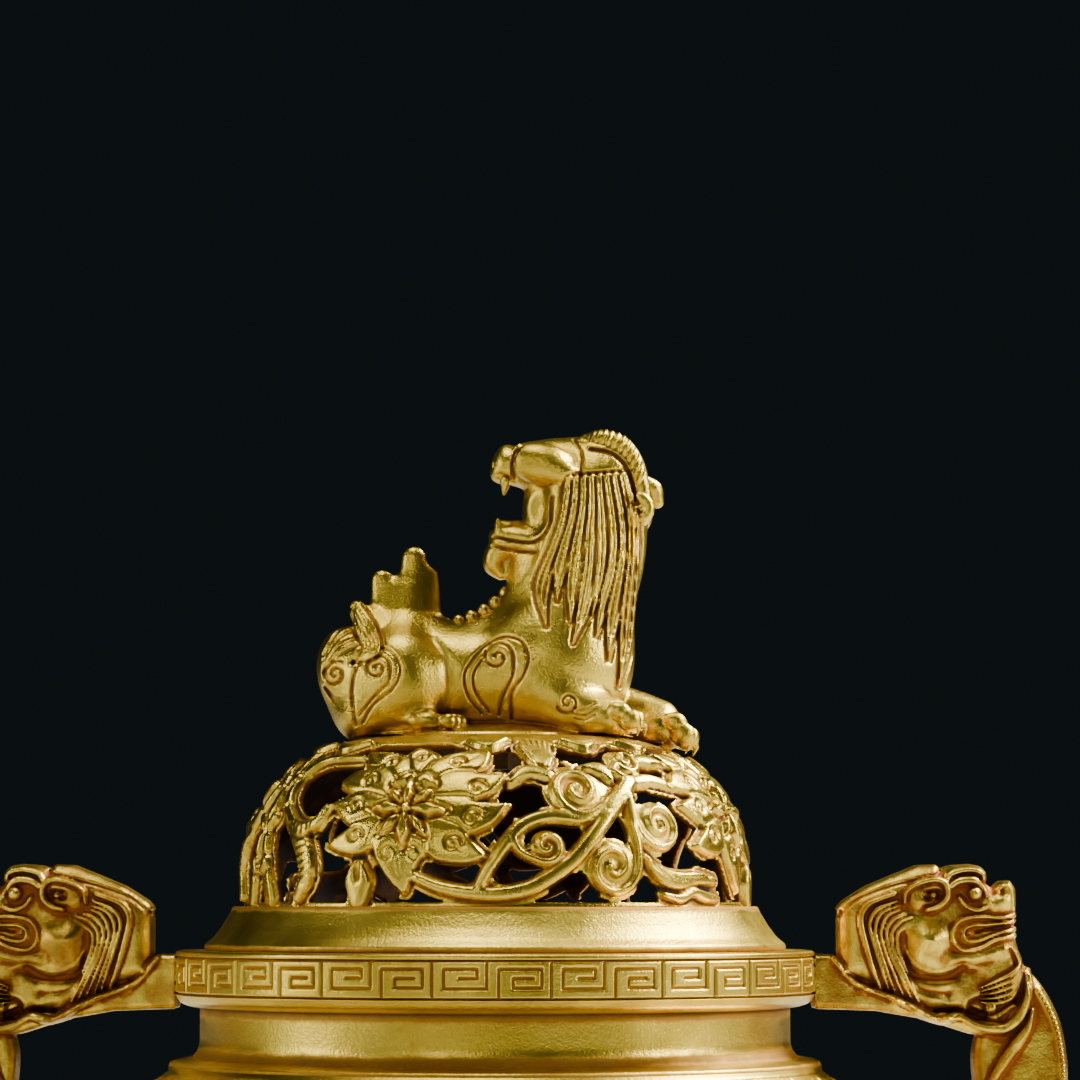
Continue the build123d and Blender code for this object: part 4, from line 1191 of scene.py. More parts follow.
def carve_dome(step, names):
    """The dome's wall, cut out of the sheet's relief and openings, bent round and shared between its bays."""
    columns = int(DOME_GIRTH / step / BAYS) * BAYS
    step = DOME_GIRTH / columns
    sheet = dome_sheet(step, DOME_SIDE + DOME_BEND * pi / 2 + DOME_FLAT_R - CROWN_R)
    overlap, end_gap = 3, 2         # cells added past the seam, and past the foot and top
    h = np.arange(-DOME_WALL - 3 * step, 1.2 + 3 * step, step)[None, None, :]
    wrap = np.arange(-overlap, columns + overlap) % columns
    height = (sheet.height - GROUND)[wrap][:, :, None]
    holes = sheet.holes[wrap][:, :, None]
    field = np.maximum(h - height, -(h + DOME_WALL))
    field = np.maximum(field, -np.clip(holes, -4 * step, 4 * step))
    field = np.pad(field, ((0, 0), (end_gap, end_gap), (0, 0)), constant_values=step)
    points, quads, stain_and_shade = skin(field.astype(np.float32), step, fine=1, broad=4)
    u = (points[:, 0] - overlap) * step - DOME_GIRTH / 2
    v = (points[:, 1] - end_gap) * step
    depth = points[:, 2] * step + h[0, 0, 0]
    middle = points[quads][:, :, 0].mean(axis=1) - overlap
    keep = (middle >= 0) & (middle < columns)
    quads, middle = quads[keep], middle[keep]
    # The inside of the wall, more than 1 mm under the dome's surface, is pushed to full hollowness, so it
    # takes the near-black painted shade.
    stain_and_shade = np.clip(stain_and_shade + soft_step((-depth - 1.0) / 0.8), -1, 1.3)
    return add_parts(names, dome_point(u, v, depth), quads, stain_and_shade, (middle * BAYS / columns).astype(int))


class CENSER_OT_dome(bpy.types.Operator):
    """Carves the openwork dome with its flowers, stems and leaves"""
    bl_idname = "censer.dome"
    bl_label = "Openwork dome"

    def execute(self, context):
        names = [f"dome_quarter_{k + 1}" for k in range(BAYS)]
        for k, quarter in enumerate(carve_dome(0.3, names)):
            hand_over(quarter, "lid", "lid_gilt", finish("gilt_openwork"), *(["lid_dome"] if k == 0 else []))
        low, high = DOME.top - DOME_WALL, DOME.top - 0.4
        edge = CROWN_R + 0.6
        plate = [(SCREW_HOLE_R, low), (edge, low), (edge, high), (SCREW_HOLE_R, high)]
        crown = lathe("dome_crown", rounded(plate), 96)
        hand_over(crown, "lid", "lid_gilt", finish("gilt_openwork"))
        return {"FINISHED"}


# ---- turned parts: skirt, locating ring, mouth rim, neck and ash liner ----
FRET_LOW, FRET_HIGH = RIM.base + 2.2, RIM.top - 0.9     # the flat band that carries the fret
FRET_PAIRS = 18
FRET_STROKE, FRET_DEPTH = 0.46, 0.55


def hollow_near(*places):
    """How hollow a turned surface is, for a few (radius, height, reach, strength) hollows. They sit mostly
    where parts meet, so the finish paints a stain and painted shade at those joins.
    """
    def crease(r, z):
        return sum(s * np.exp(-((r - a) ** 2 + (z - b) ** 2) / reach**2) for a, b, reach, s in places)
    return crease


def dense(outline, gap=0.5):
    """A closed outline with points no further apart than gap, so that hollows shade smoothly."""
    points = []
    for a, b in zip(outline, [*outline[1:], outline[0]]):
        count = max(1, int(np.ceil(np.hypot(b[0] - a[0], b[1] - a[1]) / gap)))
        points += [(a[0] + (b[0] - a[0]) * k / count, a[1] + (b[1] - a[1]) * k / count) for k in range(count)]
    return points


def skirt_outline():
    """The skirt's section: a hollow slope from a wide foot up to the dome."""
    foot, head = SKIRT.r, DOME.r + 1.0
    slope = [(foot, SKIRT.base + 1.0), (foot - 1.6, SKIRT.base + 2.3), (foot - 3.0, SKIRT.base + 4.2),
             (head + 0.35, SKIRT.top - 0.9), (head, SKIRT.top)]
    bore = DOME.r - DOME_WALL
    return rounded([(bore, SKIRT.base), (foot, SKIRT.base), *slope, (bore, SKIRT.top)], 0.5)


def rim_outline():
    """The rim's section: a cove, the bed of the fret band, a flat top and the ledge under the liner."""
    low, inner = RIM.base, LINER.r + 0.5
    r, ledge = RIM.r, inner - 3.0
    cove = through([(NECK.r - 6.3, low), (r - 3.4, low), (r - 1.1, low + 0.7), (r, low + 2.1)], 4)
    fret_bed = [(r, FRET_LOW), (r - 0.9, FRET_LOW), (r - 0.9, FRET_HIGH), (r, FRET_HIGH)]
    return rounded([(ledge, low), *map(tuple, cove), *fret_bed, (r - 0.1, RIM.top - 0.2), (r - 0.7, RIM.top),
                    (inner, RIM.top), (inner, low + 2.5), (ledge, low + 2.5)], 0.25)


def neck_outline():
    """The neck's section: an upright wall that flares to a foot on the bowl."""
    bore, foot = NECK.r - 9.2, NECK.base
    wall = NECK.r - 5.3
    return rounded([(bore, foot), (NECK.r, foot), (NECK.r - 0.3, foot + 0.9), (wall + 1.3, foot + 1.6),
                    (wall + 0.3, foot + 2.8), (wall, foot + 4.2), (wall, NECK.top), (bore, NECK.top)], 0.5)


def liner_outline():
    """The liner's section, from the middle of its floor out to the lip and back inside."""
    wall, corner = 1.4, 6.0
    side, floor, under_lip = LINER.r - 3.2, LINER.base, LINER.top - wall
    angles = np.linspace(0, pi / 2, 9)
    turn = [(side - corner * (1 - sin(a)), floor + corner * (1 - cos(a))) for a in angles]
    inner = [(r - wall * sin(a), z + wall * cos(a)) for (r, z), a in zip(turn, angles)]
    return [(0.5, floor), *turn, (side, under_lip), (LINER.r, under_lip), (LINER.r, LINER.top),
            (side - wall, LINER.top), *inner[::-1], (0.5, floor + wall)]


FRET_LINES = (                  # grooves of one pair of cells, as shares of its width and height
    ((0.46, 0.97), (0.46, 0.29), (0.10, 0.29), (0.10, 0.77), (0.38, 0.77), (0.38, 0.54), (0.23, 0.54)),
    ((0.56, 0.0), (0.56, 0.77), (0.92, 0.77), (0.92, 0.31), (0.68, 0.31), (0.68, 0.54), (0.85, 0.54)),
    ((0.0, 0.0), (0.0, 1.0)), ((1.0, 0.0), (1.0, 1.0)),
    ((-0.1, 0.98), (1.1, 0.98)), ((-0.1, 0.02), (1.1, 0.02)),
)


def fret_patch(step):
    """One pair of fret cells, cut into a strip of the rim."""
    width, tall = 2 * pi * RIM.r / FRET_PAIRS, FRET_HIGH - FRET_LOW
    step = width / int(width / step)
    sheet = Sheet((0.0, 0.0), (width, tall), step)
    grooves = sheet.height.copy()
    for line in FRET_LINES:
        where, gap = sheet.distance([(a * width, b * tall) for a, b in line], FRET_STROKE, 1.0)
        grooves[where] = np.maximum(grooves[where], soft_step(0.5 - gap / 0.3))
    height = -FRET_DEPTH * grooves
    height[:, [0, -1]] = -1.0
    r = RIM.r + height
    angle = (sheet.u / RIM.r)[:, None]
    z = np.broadcast_to(FRET_LOW + tall * (sheet.v - sheet.v[0]) / (sheet.v[-1] - sheet.v[0]), r.shape)
    points = np.stack([r * np.cos(angle), r * np.sin(angle), z], axis=2).reshape(-1, 3)
    i, j = np.meshgrid(np.arange(r.shape[0] - 1), np.arange(r.shape[1] - 1), indexing="ij")
    corner = (i * r.shape[1] + j).ravel()
    quads = np.stack([corner, corner + r.shape[1], corner + r.shape[1] + 1, corner + 1], axis=1)
    # The fret's grooves are given hollowness, so they take a stain and painted shade.
    return add_mesh("rim_fret_band", points, quads, (0.75 * grooves).ravel())


class CENSER_OT_turned(bpy.types.Operator):
    """Turns the skirt, the locating ring, the mouth rim, the neck and the ash liner"""
    bl_idname = "censer.turned"
    bl_label = "Turned parts"

    def execute(self, context):
        # Painted shade and stain at the joins: at the skirt's top and foot, under and on the rim, and round
        # the neck.
        shade = hollow_near((DOME.r + 1.2, SKIRT.top, 0.7, 0.8), (SKIRT.r, SKIRT.base, 0.9, 0.7))
        skirt = lathe("skirt", dense(skirt_outline()), crease=shade)
        hand_over(skirt, "lid", "lid_gilt", finish("gilt_turned"), "lid_skirt")
        seat_r, hole_r = SEAT.r, DOME.r - DOME_WALL + 1.2
        seat = lathe("locating_ring", rounded([(hole_r, SEAT.base), (seat_r, SEAT.base), (seat_r, SEAT.top),
                                               (hole_r, SEAT.top)], 0.4))
        hand_over(seat, "lid", "lid_gilt", finish("gilt_turned"), "lid_locating_ring")
        shade = hollow_near((NECK.r - 5.0, RIM.base, 1.3, 1.0), (SKIRT.r + 0.3, RIM.top, 0.8, 0.8))
        rim = lathe("rim", dense(rim_outline()), crease=shade)
        hand_over(rim, "vessel", "vessel_gilt", finish("gilt_turned"), "mouth_rim")
        fret = grown(fret_patch(0.17), ring_tree(), Count=FRET_PAIRS,
                     Finish=finish("gilt_turned"))
        hand_over(fret, "vessel", "vessel_gilt", finish("gilt_turned"))
        shade = hollow_near((NECK.r - 5.0, NECK.top, 1.5, 1.1), (NECK.r - 4.6, NECK.base + 2.2, 1.2, 0.9),
                            (NECK.r, NECK.base, 0.8, 0.8))
        neck = lathe("neck", dense(neck_outline()), crease=shade)
        hand_over(neck, "vessel", "vessel_gilt", finish("gilt_turned"), "neck_ring")
        liner = lathe("liner", liner_outline(), 128, capped=True)
        hand_over(liner, "liner", "liner_copper", finish("dark_copper"), "ash_liner")
        return {"FINISHED"}


# ---- the bowl ----
BOWL_WALL = 2.8
BOWL_RISE = ((38.0, 0.0), (46.1, 1.9), (53.6, 5.6), (60.0, 10.9), (65.4, 17.3), (69.6, 24.5),
             (BOWL.r - 0.25, 36.5), (BOWL.r - 0.5, 40.6), (69.6, 48.3), (64.0, 54.4), (60.6, 56.8))
BOWL_SIDE = through([*((r, BOWL.base + rise) for r, rise in BOWL_RISE), (NECK.r, BOWL.top - 1.0)], 12)
BOWL_GIRTH = 2 * pi * BOWL.r
BELT = 20.0                     # distance up the side from the bowl's floor to the scroll belt
BELT_TALL = 37.0
BELT_RINGS = (-1.6, BELT_TALL + 0.6, BELT_TALL + 3.0)
LAPPETS, LOTUS_PETALS, BELT_FLOWERS = 30, 24, 6
BOWL_RELIEF = (-0.6, 1.35)      # lowest and highest relief on the bowl
AXIS_HOLE_R = 0.8               # the turned outline stops this far from the axis


def side_lengths(line):
    """Distance along a line to each of its points."""
    return np.concatenate([[0], np.cumsum(np.hypot(*np.diff(np.asarray(line, float), axis=0).T))])


def bowl_squeeze(v):
    """How much shorter the girth is at height v than at the bowl's widest."""
    r = np.interp(v + BELT, side_lengths(BOWL_SIDE), BOWL_SIDE[:, 0])
    return np.clip(r / BOWL.r, 0.3, 1)


def draw_bowl(sheet, top):
    """Petals round the foot, a belt of flowers and scrolls, and lappets under the collar."""
    flowers = [(k + 0.5) * BOWL_GIRTH / BELT_FLOWERS - BOWL_GIRTH / 2 for k in range(BELT_FLOWERS)]
    for u in flowers:
        draw_scroll(sheet, u)
        draw_leaves(sheet, u, 1)
    for u in flowers:
        draw_flower(sheet, u)
    for v in BELT_RINGS:
        sheet.height[:, abs(sheet.v - v) < 1.6] = 0.0
        sheet.emboss([(-BOWL_GIRTH / 2, v), (0, v), (BOWL_GIRTH / 2, v)], 1.2, 0.9, edge=0.6)
    for k in range(LAPPETS):
        u = k * BOWL_GIRTH / LAPPETS - BOWL_GIRTH / 2
        half = 0.5 * BOWL_GIRTH / LAPPETS
        sheet.plateau([(u, top - 0.4), (u, top - 4.6), (u, top - 9.6)], (1.5 * half, 1.45 * half, 0.4), 1.0)
        for side in (-1, 1):
            curl = coil((u + side * 0.42 * half, top - 3.4), 1.7, 90, 1.2 * side)
            sheet.engrave(curl, 0.5, 0.6)
        sheet.plateau([(u + half, top - 0.4), (u + half, top - 6.4)], (3.0, 0.5), 0.8)
    for k in range(LOTUS_PETALS):
        u = k * BOWL_GIRTH / LOTUS_PETALS - BOWL_GIRTH / 2
        wide = 0.8 * BOWL_GIRTH / LOTUS_PETALS
        sheet.plateau([(u, -18.6), (u, -9.0), (u, -3.4)], (0.8 * wide, wide, 0.6), 1.0)
        sheet.plateau([(u, -18.6), (u, -10.0), (u, -5.4)], (0.5 * wide, 0.6 * wide, 0.4), 1.3, trench=0.3)


def bowl_mesh(step, names):
    """The whole bowl turned with its relief, then cut into a back and a front half."""
    lengths = side_lengths(BOWL_SIDE)
    top = lengths[-1] - BELT
    columns = int(BOWL_GIRTH / step / 4) * 4
    step = BOWL_GIRTH / columns
    sheet = Sheet((-BOWL_GIRTH / 2, -BELT), (BOWL_GIRTH / 2, top), step, around=True, squeeze=bowl_squeeze)
    draw_bowl(sheet, top)
    outer = np.stack([np.interp(sheet.v + BELT, lengths, BOWL_SIDE[:, i]) for i in (0, 1)], axis=1)
    along = np.gradient(outer, axis=0)
    inwards = np.stack([-along[:, 1], along[:, 0]], axis=1) / np.linalg.norm(along, axis=1)[:, None]
    inner = (outer + BOWL_WALL * inwards)[::-8]
    inner = inner[inner[:, 0] < NECK.r - 6]
    bore = NECK.r - 10.2
    lip = [(NECK.r, BOWL.top), (bore, BOWL.top), (bore, BOWL.top - 2.4)]
    under, over = (AXIS_HOLE_R, BOWL.base), (AXIS_HOLE_R, BOWL.base + BOWL_WALL)
    outline = np.vstack([[under], outer, lip, inner, [over]])
    decorated = slice(1, len(outer) + 1)
    lift = np.zeros((columns, len(outline)))
    fade = soft_step(np.minimum(sheet.v + BELT, top - sheet.v) / 2.5)
    lift[:, decorated] = (np.clip(sheet.height, *BOWL_RELIEF) - BOWL_RELIEF[1]) * fade
    # Places lower than the relief round them are marked hollow, and the finish gives them a stain and painted
    # shade.
    hollow = np.zeros_like(lift)
    level = softened(lift[:, :, None].astype(np.float32), 3)[:, :, 0]
    hollow[:, decorated] = np.clip((level - lift) / 0.45, -1, 1)[:, decorated]
    points, quads = turned_grid(outline, columns, lift, capped=True)
    part_of = (quads[:, 0] // len(outline) >= columns // 2).astype(int)
    return add_parts(names, points, quads, hollow.ravel(), part_of)


class CENSER_OT_bowl(bpy.types.Operator):
    """Turns the bowl and raises its petals, scrolls and lappets"""
    bl_idname = "censer.bowl"
    bl_label = "Bowl"

    def execute(self, context):
        halves = bowl_mesh(0.5, ("bowl_back", "bowl_front"))
        hand_over(halves[0], "vessel", "vessel_gilt", finish("gilt_relief"), "vessel_bowl")
        hand_over(halves[1], "vessel", "vessel_gilt", finish("gilt_relief"))
        return {"FINISHED"}


# ---- the beast handles, drawn from the rim's outer edge and the rim's top ----
HEAD_EDGE = ((3.9, -4.5), (3.9, 7.4), (4.8, 8.5), (8.8, 11.0), (13.6, 13.0), (17.6, 14.6), (20.7, 14.7),
             (21.5, 14.0), (23.4, 14.6), (26.1, 14.7), (28.3, 14.3), (29.4, 13.2), (29.3, 11.4), (30.4, 10.6),
             (31.8, 11.8), (33.4, 11.8), (34.3, 10.4), (34.4, 6.3), (34.4, 1.7), (35.2, -1.0), (35.6, -3.6),
             (34.6, -9.6), (31.0, -12.4), (27.0, -11.6), (24.0, -10.2), (18.8, -10.4), (13.0, -7.4),
             (7.2, -5.4))
BRACKET_EDGE = ((-2.0, -0.7), (2.8, -0.7), (4.4, -2.2), (5.5, -4.1), (7.2, -5.5), (10.1, -6.3), (13.0, -7.5),
                (16.5, -8.9), (18.8, -10.6), (21.7, -11.0), (24.0, -10.4), (26.9, -11.8), (32.0, -12.2),
                (34.6, -9.0), (36.0, -5.0), (36.8, -7.8), (35.6, -12.4), (32.1, -14.6), (26.1, -14.2),
                (21.7, -12.8), (17.6, -11.6), (10.1, -10.3), (-2.0, -9.9))
BODY_OUTER = through([(34.4, -1.2), (36.6, -3.4), (39.0, -6.2), (41.0, -9.8), (42.3, -13.4), (43.1, -18.6),
                      (43.1, -22.7), (42.0, -31.4), (39.2, -39.4), (34.6, -46.4), (28.6, -51.6),
                      (20.0, -55.8), (11.0, -58.0)], 4)
BODY_INNER = through([(11.0, -45.2), (18.0, -44.4), (23.0, -41.6), (26.2, -36.0), (27.3, -29.0),
                      (27.2, -22.7), (27.0, -17.6), (28.0, -13.4)], 4)
BODY_EDGE = (*map(tuple, BODY_OUTER), *map(tuple, BODY_INNER))
FOOT_SCROLL = (33.6, -47.6)
FOOT_SCROLL_R = 5.0
BORDER = ((38.0, -6.9), (40.0, -10.4), (41.2, -13.8), (42.0, -18.8), (42.0, -22.7), (40.9, -31.0),
          (38.2, -38.6))
BORDER_FACE = 4.45              # distance of the border's beads from the handle's middle plane


def inside_gap(sheet, corners):
    """Distance to a closed outline, negative inside it."""
    p = np.array([*corners, corners[0]], float)
    u, v = sheet.u[:, None], sheet.v[None, :]
    best = np.full(sheet.height.shape, FAR)
    inside = np.zeros(sheet.height.shape, bool)
    for (au, av), (bu, bv) in zip(p, p[1:]):
        du, dv = bu - au, bv - av
        t = np.clip(((u - au) * du + (v - av) * dv) / (du**2 + dv**2 + 1e-9), 0, 1)
        best = np.minimum(best, np.hypot(u - au - t * du, v - av - t * dv))
        if dv != 0:
            inside ^= ((av > v) != (bv > v)) & (u < du * (v - av) / dv + au)
    return np.where(inside, -best, best)


def slab(clay, gap, half, edge, blend=0.6):
    """A plate standing on the XZ plane, half thick each way, with edges rounded over a width of edge."""
    deep = np.clip(-gap, 0, edge)
    top = (half - edge + np.sqrt(edge**2 - (edge - deep) ** 2))[:, None, :]
    y = np.abs(clay.axes[1])[None, :, None]
    plate = np.maximum(y - top, gap[:, None, :]).astype(np.float32)
    clay.join((slice(None),) * 3, plate, blend)


def draw_cheek(sheet):
    """Cheek, jaw and muzzle, and the pocket behind the rim of the ruff."""
    sheet.swell([(17.0, 2.4), (26.0, 3.6)], 6.0, 0.7, softness=5.0)
    sheet.swell([(18.4, 1.9), (19.8, 1.6)], 2.6, 2.6, softness=3.4)
    sheet.engrave(through([(14.8, -1.6), (16.4, -3.9), (19.6, -4.8), (23.0, -4.2), (25.0, -2.8)]), 1.9, 1.3)
    sheet.swell(through([(14.8, 2.0), (15.2, -2.4), (17.8, -6.4), (22.4, -7.4)]), 1.6, -1.2, softness=1.5)
    sheet.swell([(30.6, 8.2), (32.8, 8.6)], 3.2, 0.9, softness=1.6)
    sheet.swell(through([(23.0, -1.6), (26.3, -1.6), (29.4, -0.7), (32.1, 0.2)]), 1.6, 0.9, softness=1.2)
    sheet.swell(through([(17.2, -3.2), (20.0, -4.6), (23.4, -4.8), (26.4, -3.6)]), 0.4, -0.9, softness=1.6)
    sheet.swell([(24.6, -7.0), (27.4, -5.0)], 5.0, -0.7, softness=2.4)
    sheet.swell(through([(27.6, -9.9), (30.4, -9.2), (32.8, -7.6)]), 3.4, -2.0, softness=0.8)
    sheet.emboss([(29.4, -9.9), (29.9, -9.8)], 1.6, 1.4, edge=0.8)


def draw_beast_mane(sheet):
    """The edge of the crest, the plain band behind the mane, and the mane's strands."""
    sheet.engrave(through([(4.2, 6.3), (7.6, 9.0), (13.6, 11.2), (18.8, 12.3), (21.5, 13.4)]), 0.8, 0.9)
    mane_edge = through([(13.4, 9.6), (11.2, 8.9), (8.7, 7.7), (7.6, 5.2), (8.4, 1.1), (9.5, -2.9),
                         (10.9, -6.6)])
    sheet.emboss(mane_edge, (0.9, 1.2, 1.2, 0.9), 0.9, edge=0.5)
    strands = (
        ((13.9, 8.4), (10.3, 6.9), (9.1, 4.3), (10.1, 0.0), (11.4, -4.1), (12.4, -7.0)),
        ((14.0, 7.6), (11.1, 6.4), (10.0, 3.4), (10.9, -0.4), (12.2, -4.1), (13.5, -7.3)),
        ((14.2, 6.9), (12.0, 5.8), (11.0, 2.9), (11.8, -0.6), (13.2, -4.1), (14.8, -7.7)),
        ((15.3, 6.3), (13.0, 5.2), (11.9, 2.9), (12.7, -0.8), (14.2, -4.1), (16.1, -8.2)),
        ((16.5, 5.9), (14.2, 4.9), (12.8, 2.6), (13.5, -1.0), (15.0, -4.2), (17.4, -8.8)),
        ((17.6, 5.6), (15.2, 4.2), (13.8, 2.6), (14.2, -0.6), (15.6, -3.9)),
    )
    for k, strand in enumerate(strands):
        sheet.emboss(through(strand), (0.5, 1.0, 0.9, 0.9, 0.8, 0.3), 1.1 - 0.08 * k, edge=0.5)


def draw_ear(sheet):
    """A lobe curling round a ball."""
    sheet.swell([(17.4, 9.2), (20.4, 9.8)], 3.4, 0.9, softness=0.9)
    ear = [(15.0, 8.0), (15.4, 10.1), (17.6, 11.5), (20.5, 12.1), (22.1, 11.2), (22.3, 9.0), (20.8, 7.5),
           (18.8, 6.9)]
    sheet.emboss(through(ear), (0.8, 1.1, 1.3, 1.4, 1.3, 1.0), 2.2, edge=0.6)
    sheet.swell([(19.2, 9.4), (20.6, 9.6)], 1.4, -1.4, softness=0.7)
    sheet.emboss(spot(20.0, 9.4), 1.5, 1.6, edge=0.75)
    sheet.emboss(spot(18.7, 9.6), 0.8, 1.2, edge=0.4)


def draw_eye(sheet):
    """Brow, lids and eyeball."""
    brow = through([(22.2, 11.8), (23.2, 13.3), (26.1, 14.0), (28.4, 13.5), (29.0, 12.2)])
    sheet.emboss(brow, (1.2, 1.5, 1.5, 1.2), 1.8, edge=0.7)
    upper_lid = through([(22.9, 10.9), (24.6, 11.9), (26.9, 12.0), (28.4, 11.0), (29.2, 9.6)])
    sheet.emboss(upper_lid, (1.3, 1.5, 0.9), 1.5, edge=0.6)
    sheet.swell(spot(27.2, 9.7), 2.4, -0.8, softness=0.9)
    sheet.emboss(spot(27.2, 9.7), 2.6, 1.9, edge=1.3)
    lower_lid = through([(24.4, 9.0), (25.5, 7.6), (27.3, 6.9), (29.1, 7.3), (30.6, 8.7)])
    sheet.emboss(lower_lid, (0.8, 1.1, 0.6), 1.3, edge=0.5)


def draw_muzzle(sheet):
    """The nose, and two nested lips round a dark slit."""
    nose = through([(31.0, 10.2), (32.2, 11.2), (33.4, 11.1), (33.9, 9.6), (33.9, 7.4)])
    sheet.emboss(nose, (1.0, 1.6, 1.2), 1.3, edge=0.6)
    sheet.engrave([(32.0, 10.2), (32.1, 9.7)], 1.0, 1.0)
    sheet.swell([(26.4, 2.9), (31.0, 3.8), (35.0, 4.3)], 2.2, -0.4, softness=0.5)
    outer_lip = [(35.0, 6.1), (31.6, 5.6), (28.9, 5.8), (26.3, 5.6), (24.3, 4.9), (23.3, 3.4), (23.3, 1.7),
                 (24.3, 0.4), (25.8, 0.0), (28.1, 0.5), (30.4, 1.7), (32.1, 2.1), (35.0, 2.8)]
    inner_lip = [(35.0, 5.2), (32.1, 4.7), (29.2, 4.4), (26.9, 4.3), (25.3, 3.6), (25.2, 2.2), (26.2, 1.5),
                 (28.0, 1.7), (30.0, 2.5), (32.1, 3.2), (35.0, 3.7)]
    sheet.emboss(through(outer_lip), 0.85, 1.3, edge=0.42)
    sheet.emboss(through(inner_lip), 0.7, 1.0, edge=0.35)
    sheet.engrave(through([(35.0, 4.4), (32.1, 4.0), (29.2, 3.5), (27.2, 3.1)]), 0.6, 1.1)
    sheet.emboss(spot(26.1, 3.0), 0.9, 1.0, edge=0.45)


def draw_beard(sheet):
    """Strands under the jaw, each lower than the one before."""
    for k in range(5):
        drop = 1.25 * k
        beard = [(33.4 + 0.3 * k, 0.4 - 0.4 * drop), (35.1, -1.6 - 0.5 * drop), (33.6, -3.7 - 0.8 * drop),
                 (30.6, -5.2 - 0.75 * drop), (28.0, -6.3 - 0.5 * drop)]
        sheet.emboss(through(beard), (0.5, 0.9, 1.0, 0.8, 0.3), 1.6 - 0.1 * k, edge=0.45)


def draw_head(sheet):
    """The beast's face, which both sides of a handle share."""
    for draw in (draw_cheek, draw_beast_mane, draw_ear, draw_eye, draw_muzzle, draw_beard):
        draw(sheet)


def draw_handle_body(sheet):
    """The wavy bright edge of the bracket, the ridge under the ruff, and the border of the body."""
    ragged = through([(2.8, -1.4), (4.4, -3.1), (6.2, -5.2), (8.4, -6.5), (11.6, -7.6), (15.0, -9.0),
                      (17.6, -10.4), (20.4, -11.9), (22.6, -11.6), (24.6, -11.2), (26.9, -12.6),
                      (29.8, -13.4), (32.9, -12.9), (35.2, -10.4), (36.2, -7.4), (36.3, -3.6)])
    sheet.emboss(ragged, (1.2, 1.4, 1.0, 1.4, 1.2, 1.6, 1.2, 1.9, 1.8, 1.6), 1.1, edge=0.6)
    for u, v in ((7.9, -6.2), (13.2, -8.2), (17.0, -10.0), (19.0, -11.0), (21.6, -11.3)):
        sheet.swell([(u, v), (u + 0.5, v - 0.2)], 1.3, 1.0, softness=0.8)
    ridge = through([(36.9, -10.0), (36.2, -12.8), (34.8, -15.0), (33.0, -17.4), (31.0, -20.4),
                     (28.8, -24.0)])
    sheet.emboss(ridge, (0.8, 1.8, 2.4, 2.0, 1.4), 2.0, edge=1.0)
    sheet.swell(through(BORDER), 1.4, 0.45, softness=0.3)
    inner = through([(30.2, -25.0), (29.2, -31.0), (27.6, -37.4), (24.0, -43.2), (18.4, -46.6),
                     (12.0, -47.6)])
    sheet.emboss(inner, 1.3, 0.7, edge=0.6)
    sheet.engrave(coil(FOOT_SCROLL, 4.0, 40, -1.6, tail=((38.6, -34.0), (38.4, -41.0))), 0.8, 0.9)
    for k in range(6):
        share = k / 5
        scale_at = (35.6 - 8.0 * share * share, -31.0 - 19.0 * share)
        sheet.engrave(coil(scale_at, 2.6, 200, 0.45, tightness=1.0), 0.5, 0.45)


def handle_clay(step):
    """A handle cut out of plates, with the face and the bracket's relief pressed into both sides."""
    low = (-0.4, HANDLE.low.y - 0.6, HANDLE.base - RIM.top - 0.6)
    clay = Clay(low, (44.0, HANDLE.high.y + 0.6, 15.8), step)
    face, body = clay.side_sheet(), clay.side_sheet()
    head = inside_gap(face, HEAD_EDGE)
    scroll = np.hypot(face.u[:, None] - FOOT_SCROLL[0], face.v[None, :] - FOOT_SCROLL[1]) - FOOT_SCROLL_R
    slab(clay, inside_gap(face, BODY_EDGE), 4.3, 2.0)
    slab(clay, scroll, 4.4, 1.2)
    slab(clay, inside_gap(face, BRACKET_EDGE), 5.6, 1.2)
    slab(clay, head, 5.8, 3.2)
    draw_head(face)
    draw_handle_body(body)
    face.height *= soft_step(0.5 - head)
    on_head = np.maximum(face.height, np.minimum(body.height, face.height + 0.4))
    body.height = np.where(head < -0.6, on_head, body.height + face.height)
    clay.press_sides(body, 1.0)
    x, y, z = clay.everywhere()
    out = np.hypot(x + RIM.r, y)
    bowl_r = np.interp(z + RIM.top, BOWL_SIDE[:, 1], BOWL_SIDE[:, 0], right=0)
    clay.field = np.maximum(clay.field, np.maximum(RIM.r - 0.1 - out, bowl_r - 0.4 - out)).astype(np.float32)
    return clay


class CENSER_OT_handles(bpy.types.Operator):
    """Sculpts the two beast handles and the row of beads down each edge"""
    bl_idname = "censer.handles"
    bl_label = "Beast handles"

    def execute(self, context):
        step = 0.27
        clay = handle_clay(step)
        points, quads, stain_and_shade = skin(clay.field, step)
        points = points * step + clay.low + (RIM.r, 0, RIM.top)
        beads = bead_tree()
        sizes = context.scene.censer_sizes
        for side, name in ((1, "right"), (-1, "left")):
            turn = (side, side, 1)
            handle = add_parts([f"handle_{name}_beast"], points * turn, quads, stain_and_shade, np.zeros(len(quads)))[0]
            hand_over(handle, "vessel", "handle_gilt", finish("gilt_handle"), f"handle_{name}")
            for face, label in ((-1, "front"), (1, "back")):
                line = [((x + RIM.r) * side, BORDER_FACE * face, z + RIM.top) for x, z in through(BORDER)]
                row = line_object(f"handle_{name}_beads_{label}", line)
                grown(row, beads, Spacing=sizes.edge_bead_spacing, Radius=sizes.edge_bead_radius, Length=1.0,
                      Finish=finish("gilt_handle"))
                hand_over(row, "vessel", "handle_gilt", finish("gilt_handle"))
        return {"FINISHED"}


